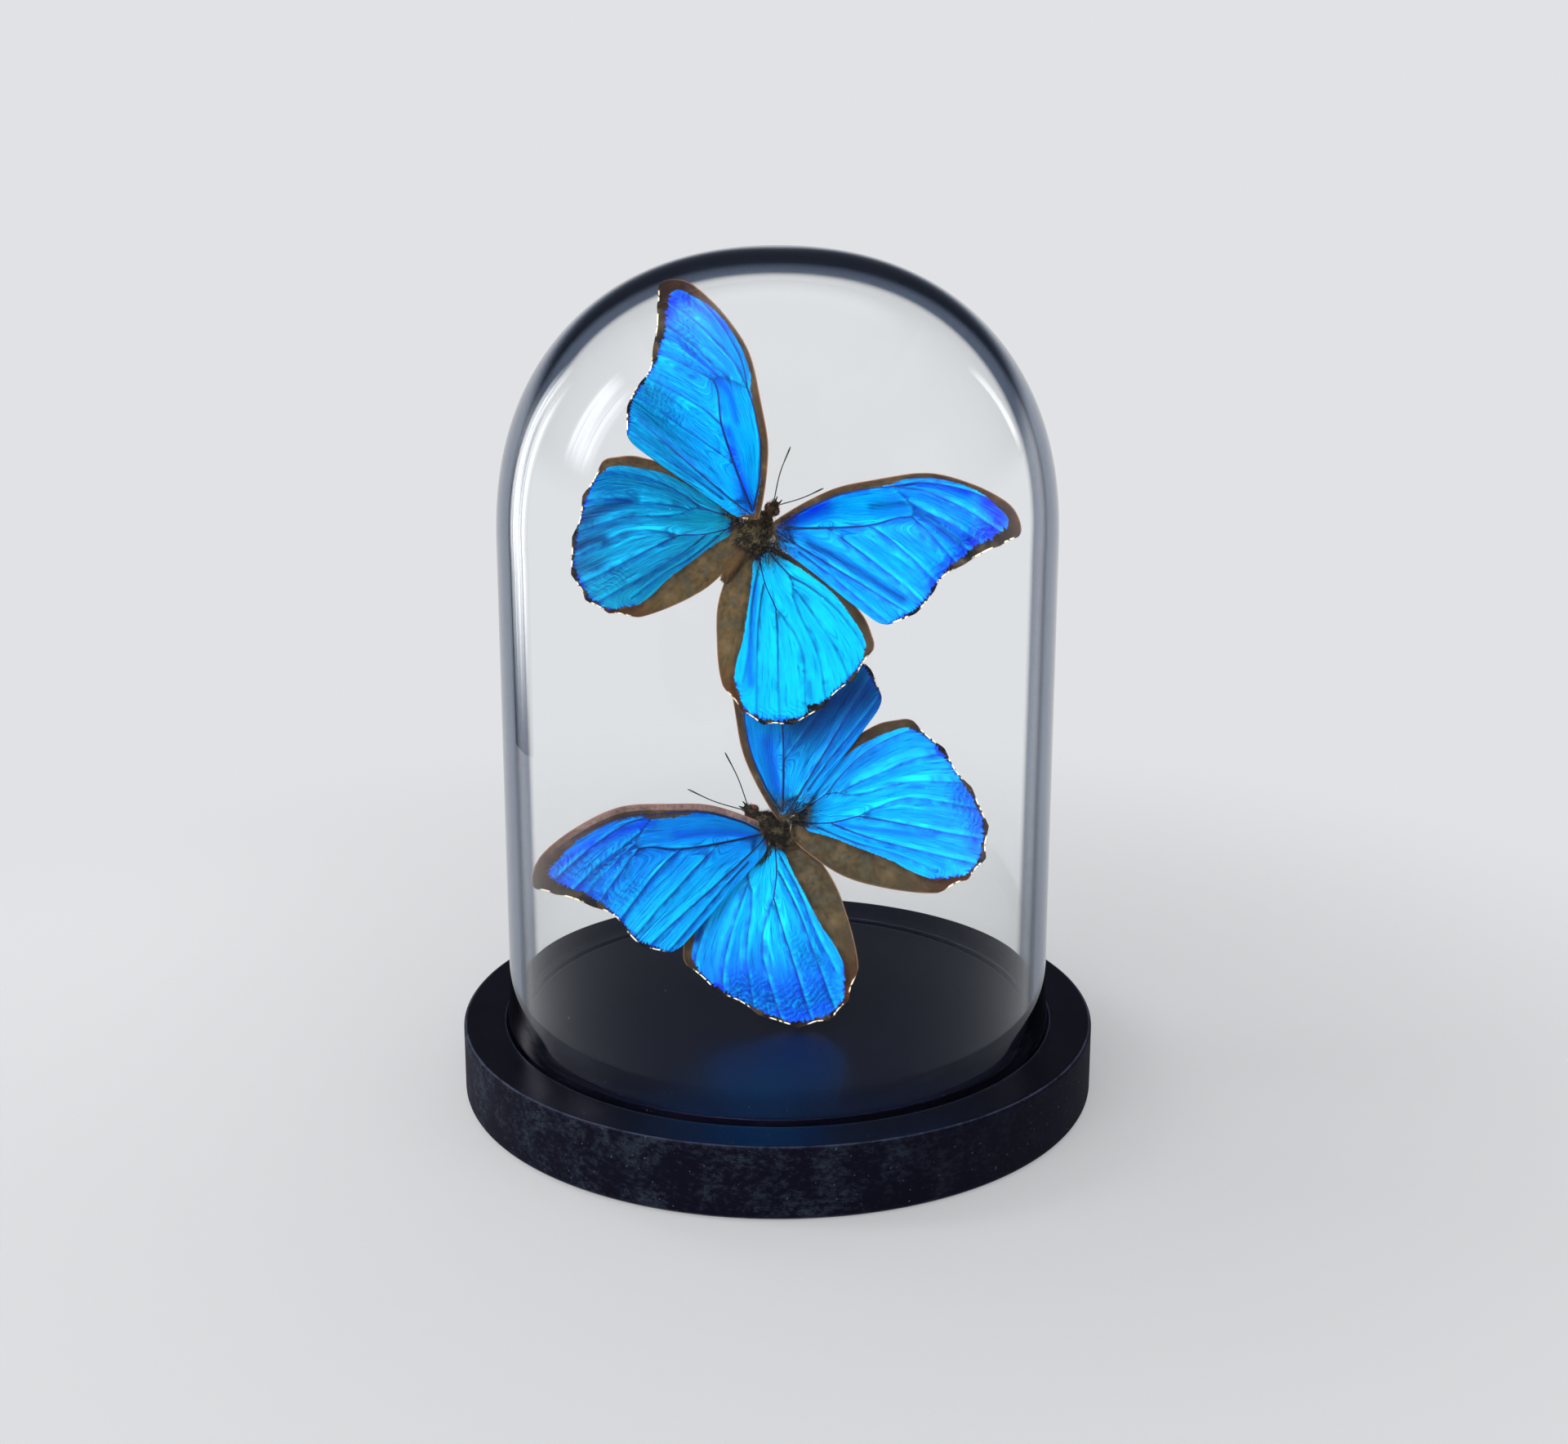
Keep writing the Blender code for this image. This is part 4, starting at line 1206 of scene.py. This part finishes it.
    def finished(self):
        """Brown under ragged blue, cream dashes in the scallops and a rosy front edge."""
        edge, on_margin = self.edge, self.on_margin
        spikes = self.noise(self.scaled(self.fringe, (1.7, 0.2, 1)), 1.0, 2, 0.65)
        ragged = (spikes - 0.5) * (0.9 + 2.6 * on_margin) - 0.35 * on_margin
        bare = self.attribute("brown") * self.rise(self.mottle + self.streaks, 0.6, 1.1)
        is_blue = self.rise(self.field + ragged - 3 * bare, -0.12, 0.12)
        bites = self.margin * self.wing.plan["scallops"]
        in_bite = self.rise(bites.back_and_forth(0.5), 0.2, 0.28)
        dashes = self.rise(self.noise(self.scaled(self.fringe, (0.9, 1, 1)), 1.0, 1), 0.4, 0.48)
        cream = self.rise(edge, 0.42, 0.3) * in_bite * on_margin * dashes
        rosy = self.rise(edge, 0.32, 0.18) * (1 - on_margin) * 0.6
        if self.forewing:
            rosy = rosy * self.rise(self.v, -0.05, -0.02)
        colour = self.layered(
            self.brown(), (is_blue, self.blue()), (cream, EDGE_CREAM), (rosy, EDGE_ROSE)
        )
        return self.surface(self.shader(
            colour, metallic=is_blue * 0.3 * (1 - cream), roughness=0.7 - 0.3 * is_blue,
            normal=self.relief(is_blue), specular_ior_level=0.1,
        ))


def under_finish(wing):
    """The underside: brown with pale bands and a row of eyespots."""
    finish = Finish(f"{wing.name}_underside")
    flat, flow = finish.node("ShaderNodeUVMap", {"uv_map": "flat"}), finish.arrow("flow")
    spread = finish.scaled(flat, (wing.span, wing.span, 1))
    mottle = finish.noise(spread, 0.5, 5, 0.7)
    layers = [(finish.rise(mottle, 0.35, 0.65), UNDER_DARK)]
    (ax, ay), (bx, by) = wing.plan["bands"]
    u, v, _ = finish.parts(flat)
    for shift, width in ((0, 0.016), (0.16, 0.012)):
        line = (u - ax - shift) - (v - ay) * ((bx - ax) / (by - ay))
        wavy = line + 0.06 * (finish.noise(spread, 0.12, 2) - 0.5)
        layers.append((finish.rise(abs(wavy), width * 1.6, width * 0.6) * 0.7, UNDER_BAND))
    border = abs(finish.attribute("edge") - UNDER_BORDER)
    layers.append((finish.rise(border, 0.7, 0.3) * 0.6, UNDER_BAND))
    for x, y, radius in wing.plan["eyespots"]:
        gap = finish.node("ShaderNodeVectorMath", {"operation": "DISTANCE"}, {
            0: spread, 1: (x * wing.span, y * wing.span, 0),
        }, output="Value")
        gap = gap + 0.25 * (mottle - 0.5)
        for colour, share in EYESPOT_DISCS:
            layers.append((finish.rise(gap, radius * share + 0.12, radius * share - 0.12), colour))
    grain = finish.noise(finish.scaled(flow, (5, 5, 1)), 1.0, 2, 0.7)
    relief = finish.bump(finish.noise(finish.scaled(flow, (0.3, 1.6, 1)), 1.0, 2), 0.3, 0.5)
    relief = finish.bump(grain, 0.08, 0.5, relief)
    return finish.surface(finish.shader(
        finish.layered(UNDER_BROWN, *layers), roughness=0.72, normal=relief
    ))


@cache
def vein_finish():
    finish = Finish("wing_vein")
    run, mottle = finish.attribute("run"), finish.noise(finish.place, 900, 2)
    colour = finish.layered(
        (0.02, 0.05, 0.25),
        (finish.rise(run, 0.1, 0.8), (0.0, 0.13, 0.45)),
        (finish.rise(mottle, 0.4, 0.7) * 0.6, (0.03, 0.05, 0.2)),
    )
    return finish.surface(finish.shader(colour, roughness=0.5, metallic=0.3))


# ---------------------------------------------------------------- bodies


@cache
def fur_finish(name, pale, dark):
    """Hair in pale and dark patches with lighter wisps that are partly paler hairs and partly painted
    glints, browner on the tail and darker on the head.
    """
    finish = Finish(name)
    run = finish.attribute("run")
    colour = finish.layered(
        pale,
        (finish.rise(finish.noise(finish.place, 420, 3, 0.6), 0.4, 0.5), dark),
        # lighter wisps: partly paler hairs, partly painted glints
        (finish.rise(finish.noise(finish.place, 1900, 1), 0.6, 0.68) * 0.6, (0.56, 0.5, 0.36)),
        (finish.rise(run, -4.0, -7.0) * 0.85, (0.42, 0.32, 0.2)),
        (finish.rise(run, 5.6, 6.8) * 0.7, (0.2, 0.16, 0.12)),
    )
    return finish.surface(finish.shader(colour, roughness=0.8, specular_ior_level=0.15))


@cache
def skin_finish():
    """The dark, creased skin under the fur, browner on the tail."""
    finish = Finish("body_skin")
    patch = finish.noise(finish.place, 700, 3, 0.6)
    colour = finish.layered(
        (0.1, 0.08, 0.05),
        (finish.rise(patch, 0.4, 0.65), (0.24, 0.2, 0.14)),
        (finish.rise(finish.attribute("run"), -4.0, -7.0) * 0.8, (0.38, 0.29, 0.18)),
    )
    relief = finish.bump(patch, 0.25, 0.7)
    return finish.surface(finish.shader(colour, roughness=0.75, specular_ior_level=0.15, normal=relief))


@cache
def eye_finish():
    """A dried, reddish eye with facets."""
    finish = Finish("dried_eye")
    facets = finish.node("ShaderNodeTexVoronoi", inputs={"Vector": finish.place, "Scale": 9000.0})
    patch = finish.rise(finish.noise(finish.place, 900, 2), 0.35, 0.7)
    colour = finish.mix(patch, (0.2, 0.08, 0.06), (0.48, 0.22, 0.15))
    relief = finish.bump(facets, 0.03, 0.5)
    return finish.surface(finish.shader(colour, roughness=0.25, normal=relief, coat_weight=0.4))


@cache
def horn_finish(name):
    """Ringed horn, paler on the rings."""
    dark, pale, rings = HORNS[name]
    finish = Finish(name)
    ring = (finish.attribute("run") * rings).back_and_forth(1.0)
    patch = finish.rise(finish.noise(finish.place, 700, 2), 0.3, 0.6)
    colour = finish.mix(finish.rise(ring, 0.55, 0.8) * patch, dark, pale)
    return finish.surface(finish.shader(colour, roughness=0.45, normal=finish.bump(ring, 0.06, 0.4)))


def tube_faces(rings, sides):
    """Faces between rings of points, closed at both ends."""
    faces = []
    for n in range(rings - 1):
        first, second = n * sides, (n + 1) * sides
        for i in range(sides):
            j = (i + 1) % sides
            faces.append((first + i, first + j, second + j, second + i))
    faces.append(tuple(range(sides))[::-1])
    faces.append(tuple(range((rings - 1) * sides, rings * sides)))
    return faces


def trunk_mesh(name, size, centre):
    """The body's surface, with how its fur lies: swirling in tufts, backwards or, on the head, forwards."""
    rings = smooth_path(BODY_SECTIONS, BODY_RINGS, np.array)
    places, lie, down, length, run = [], [], [], [], []
    turn = centre.to_3x3()
    noise.seed_set(SWIRL_SEED)  # noise_vector takes its offsets from the seed
    for n, (forward, up, wide, high) in enumerate(rings):
        before, after = rings[max(n - 1, 0)], rings[min(n + 1, BODY_RINGS - 1)]
        back = Vector((0, after[0] - before[0], after[1] - before[1])).normalized()
        flow = back if forward < CREST else -back * 0.4
        part = "head" if forward > NECK else "thorax" if forward > WAIST else "tail"
        for i in range(BODY_SIDES):
            a = 2 * pi * i / BODY_SIDES
            spot = Vector((wide * cos(a), forward, up + high * sin(a))) * size
            spot.x *= 1 + 0.05 * noise.noise(spot * 0.9)
            outward = Vector((cos(a), 0, sin(a)))
            swirl = noise.noise_vector(spot * TUFTS_PER_MM)
            tuft = 0.5 + 1.6 * noise.noise(spot * TUFTS_PER_MM + Vector((9, 0, 0)))
            places.append(centre @ (spot * MM))
            lie.append(turn @ (flow + outward * 0.15 + swirl * 0.9))
            down.append(0.0 if forward > MOUTH else min(max(tuft, 0.12), 1.0))
            length.append(HAIR_LENGTHS[part] * (0.75 + 0.5 * min(max(tuft, 0), 1)))
            run.append(forward)
    mesh = bpy.data.meshes.new(name)
    mesh.from_pydata([tuple(p) for p in places], [], tube_faces(BODY_RINGS, BODY_SIDES))
    keep_fur(mesh, lie, down, length, run)
    mesh.shade_smooth()
    fix_normals(mesh)
    return mesh


def fix_normals(mesh):
    shape = bmesh.new()
    shape.from_mesh(mesh)
    bmesh.ops.recalc_face_normals(shape, faces=shape.faces)
    shape.to_mesh(mesh)
    shape.free()


def make_body(prefix, size, centre):
    mesh = trunk_mesh(f"{prefix}_trunk", size, centre)
    coat = fur_finish("coat_hair", *BODY_HAIR_COLOURS)
    trunk = add_piece(f"{prefix}_trunk", mesh, skin_finish())
    hairs = add_piece(f"{prefix}_fur", mesh.copy())
    run_tree(hairs, FUR, **BODY_HAIR, Material=coat)
    belongs(trunk, "body_fur", f"{prefix}_body")
    belongs(hairs, "body_fur")
    add_eyes(prefix, size, centre)
    add_palps(prefix, size, centre, coat)


def add_eyes(prefix, size, centre):
    shape = bmesh.new()
    for side in SIDES.values():
        place = centre @ Matrix.Translation(mirrored(EYE_PLACE, side) * MM * size)
        bmesh.ops.create_icosphere(
            shape, subdivisions=4, radius=EYE_RADIUS * MM * size,
            matrix=place @ Matrix.Diagonal((*EYE_SWELL, 1)),
        )
    mesh = mesh_from(f"{prefix}_eyes", shape)
    mesh.shade_smooth()
    belongs(add_piece(f"{prefix}_eyes", mesh, eye_finish()), "body_fur")


def add_palps(prefix, size, centre, coat):
    """Two furry feelers beside the mouth."""
    paths = []
    for side in SIDES.values():
        line = smooth_path([mirrored(p, side) for p in PALP_PATH], PALP_SAMPLES)
        radii = PALP_RADIUS * (1 - PALP_TAPER * np.linspace(0, 1, PALP_SAMPLES)) * size
        paths.append([(centre @ (p * MM * size), radius, PALP_RUN) for p, radius in zip(line, radii)])
    belongs(add_rods(f"{prefix}_palps", paths, coat), "body_fur")


def antenna_radius(t):
    """A slim shaft with a club at its end, which narrows again at the tip."""
    club = max(0, (t - CLUB_START) / (1 - CLUB_START))
    swell = sin(pi / 2 * min(club / 0.62, 1))
    tip = max(0, club - 0.8) / 0.2
    return (ANTENNA_RADIUS + CLUB_SWELL * swell) * (1 - 0.5 * tip)


def add_antenna(prefix, hand, plan, centre):
    base = mirrored(ANTENNA_SOCKET, SIDES[hand]) * plan["size"]
    tip = Vector(plan["antenna_tips"][hand])
    middle = base.lerp(tip, 0.5) + mirrored(ANTENNA_ARCH, SIDES[hand])
    line = smooth_path([base, middle, tip], ANTENNA_SAMPLES)
    path = []
    for k, place in enumerate(line):
        t = k / (ANTENNA_SAMPLES - 1)
        path.append((centre @ (place * MM), antenna_radius(t), t * (tip - base).length))
    antenna = add_rods(f"{prefix}_feeler_{hand}", [path], horn_finish("antenna_brown"))
    belongs(antenna, "antenna_brown", f"{prefix}_antenna_{hand}")


def add_leg(prefix, pair, hand, size, centre):
    points = [mirrored(p, SIDES[hand]) for p in LEG_PATHS[pair]]
    line = smooth_path(points, LEG_SAMPLES)
    joints = np.linspace(0, len(points) - 1, LEG_SAMPLES)
    radii = np.interp(joints, range(len(points)), LEG_RADII)
    run = 0
    path = []
    for k, (place, radius) in enumerate(zip(line, radii)):
        run += (place - line[k - 1]).length if k else 0
        path.append((centre @ (place * MM * size), radius, run))
    leg = add_rods(f"{prefix}_folded_leg_{pair}_{hand}", [path], horn_finish("leg_brown"))
    belongs(leg, "leg_brown", f"{prefix}_leg_{pair}_{hand}")


def make_butterfly(prefix, plan):
    centre = (
        Matrix.Translation(Vector(plan["thorax"]) * MM)
        @ Matrix.Rotation(radians(90 - BACK_LEAN), 4, "X")
        @ Matrix.Rotation(radians(-plan["heading"]), 4, "Z")
    )
    for number, wing in enumerate(plan["wings"]):
        add_wing(Wing(prefix, wing, plan, centre, number * 7.3 + plan["heading"]))
    make_body(prefix, plan["size"], centre)
    for hand in SIDES:
        add_antenna(prefix, hand, plan, centre)
        for pair in LEG_PATHS:
            add_leg(prefix, pair, hand, plan["size"], centre)


def wire_finish():
    """Steel with fine lines along the wire."""
    finish = Finish("steel_wire")
    lines = finish.noise(finish.scaled(finish.place, (4000, 4000, 120)), 1.0, 2)
    colour = finish.mix(finish.rise(lines, 0.3, 0.7), (0.5, 0.5, 0.52), (0.66, 0.66, 0.67))
    return finish.surface(finish.shader(colour, metallic=1.0, roughness=0.24 + 0.2 * lines))


def make_wires():
    steel = wire_finish()
    for name, path in WIRE_PATHS.items():
        foot = Vector(path[0]) - Vector((0, 0, WIRE_HOLE_DEPTH - GAP))
        line = [foot, *smooth_path(path, WIRE_SAMPLES)]
        rod = [(p * MM, WIRE_RADIUS, p.z) for p in line]
        wire = add_rods(f"bent_wire_{name}", [rod], steel, 16)
        belongs(wire, "steel_wire", f"support_wire_{name}")


# ---------------------------------------------------------------- studio


def aim(thing, place, target):
    thing.location = place
    thing.rotation_euler = (Vector(target) - Vector(place)).to_track_quat("-Z", "Y").to_euler()


def add_card(name, place, target, width, height, glow, drapes=0):
    """A glowing card with soft edges that lights the set and shows only in reflections."""
    finish = Finish(f"{name}_card")
    x, y, _ = finish.parts(finish.place)
    across = finish.rise(abs(x), width / 2, width * 0.2)
    soft = across * finish.rise(abs(y), height / 2, height * 0.2)
    if drapes:
        folds = finish.noise(finish.scaled(finish.place, (1, 0.02, 1)), drapes, 3, 0.7)
        soft = soft * finish.rise(folds, 0.35, 0.6)
    light = finish.node("ShaderNodeEmission", inputs={"Color": (1, 1, 1, 1), "Strength": soft * glow})
    shape = bmesh.new()
    bmesh.ops.create_grid(shape, x_segments=1, y_segments=1, size=0.5)
    bmesh.ops.scale(shape, vec=(width, height, 1), verts=shape.verts)
    card = add_piece(name, mesh_from(name, shape), finish.surface(light))
    aim(card, place, target)
    card.visible_camera = False
    card.visible_transmission = False
    card.visible_shadow = False


def add_softbox(name, place, target, width, height, watts):
    """A lamp whose light passes the glass in full, and which isn't mirrored in it."""
    lamp = bpy.data.lights.new(name, "AREA")
    lamp.shape, lamp.size, lamp.size_y, lamp.energy = "RECTANGLE", width, height, watts
    lamp.cycles.use_multiple_importance_sampling = False
    aim(add_object(name, lamp), place, target)


def make_world():
    """A pale floor line, a grey wall above it and a pale ceiling."""
    world = bpy.data.worlds.new("studio")
    world.use_nodes = True
    bpy.context.scene.world = world
    sky = Palette(world.node_tree)
    up = sky.parts(sky.place)[2]
    wall = sky.mix(sky.rise(up, 0.03, 0.2), PALE, WALL_GREY)
    colour = sky.mix(sky.rise(up, 0.62, 0.85), wall, CEILING)
    light = sky.node("ShaderNodeBackground", inputs={"Color": colour, "Strength": 1.0})
    sky.node("ShaderNodeOutputWorld", inputs={"Surface": light}, output=None)


def make_floor():
    """A paper floor with shadows near the board that turns into plain light further out."""
    finish = Finish("pale_floor")
    x, y, _ = finish.parts(finish.place)
    radius = (x * x + y * y) ** 0.5
    paper = finish.shader((0.75, 0.755, 0.76), roughness=0.9, specular_ior_level=0.1)
    far = finish.node("ShaderNodeEmission", inputs={"Color": linear(PALE), "Strength": 1.0})
    blend = 0.45 + 0.55 * finish.rise(radius, 0.09, 0.36)
    material = finish.surface(finish.node("ShaderNodeMixShader", inputs={0: blend, 1: paper, 2: far}))
    material.cycles.emission_sampling = "NONE"
    shape = bmesh.new()
    bmesh.ops.create_circle(shape, cap_ends=True, segments=96, radius=FLOOR_RADIUS)
    add_piece("floor", mesh_from("floor", shape), material)


def make_lights():
    """Curtained windows on the left and right, a soft lamp in front and faint cards above and beside."""
    add_card("window", (-0.5, -0.02, 0.42), (0, 0, 0.16), width=0.2, height=0.34, glow=17, drapes=18)
    add_card("window_beside", (-0.32, 0.17, 0.18), (0, 0, 0.14), width=0.12, height=0.36, glow=9, drapes=24)
    add_card("window_right", (0.42, 0.2, 0.34), (0, 0, 0.16), width=0.045, height=0.24, glow=7, drapes=12)
    add_softbox("front", (-0.3, -0.95, 0.6), (0, 0, 0.12), width=1.2, height=0.8, watts=7.5)
    add_card("overhead", (0.0, 0.0, 1.2), (0, 0, 0.1), width=1.6, height=1.6, glow=1.4)
    add_card("fill", (0.8, -0.5, 0.4), (0, 0, 0.1), width=0.8, height=0.8, glow=1.0)


def make_studio():
    bpy.context.scene.view_settings.view_transform = "Standard"
    bpy.context.scene.view_settings.look = "Medium High Contrast"
    make_world()
    make_floor()
    make_lights()


def make_camera():
    (width, height), (across, down) = FRAME, OPTICAL_CENTRE
    camera = bpy.data.cameras.new("camera")
    camera.sensor_width = SENSOR
    camera.lens = SENSOR * FOCAL_LENGTH / width
    camera.shift_x = (width / 2 - across) / width
    camera.shift_y = (down - height / 2) / width
    camera.clip_start = 0.01
    camera.clip_end = 20
    pitch = radians(CAMERA_PITCH)
    eye = add_object("camera", camera)
    eye.location = Vector(CAMERA_TARGET) - Vector((0, cos(pitch), -sin(pitch))) * CAMERA_DISTANCE
    eye.rotation_euler = (pi / 2 - pitch, 0, 0)
    bpy.context.scene.camera = eye


def main():
    make_board()
    make_dome()
    make_wires()
    for prefix, plan in BUTTERFLIES.items():
        make_butterfly(prefix, plan)
    make_studio()
    make_camera()


main()
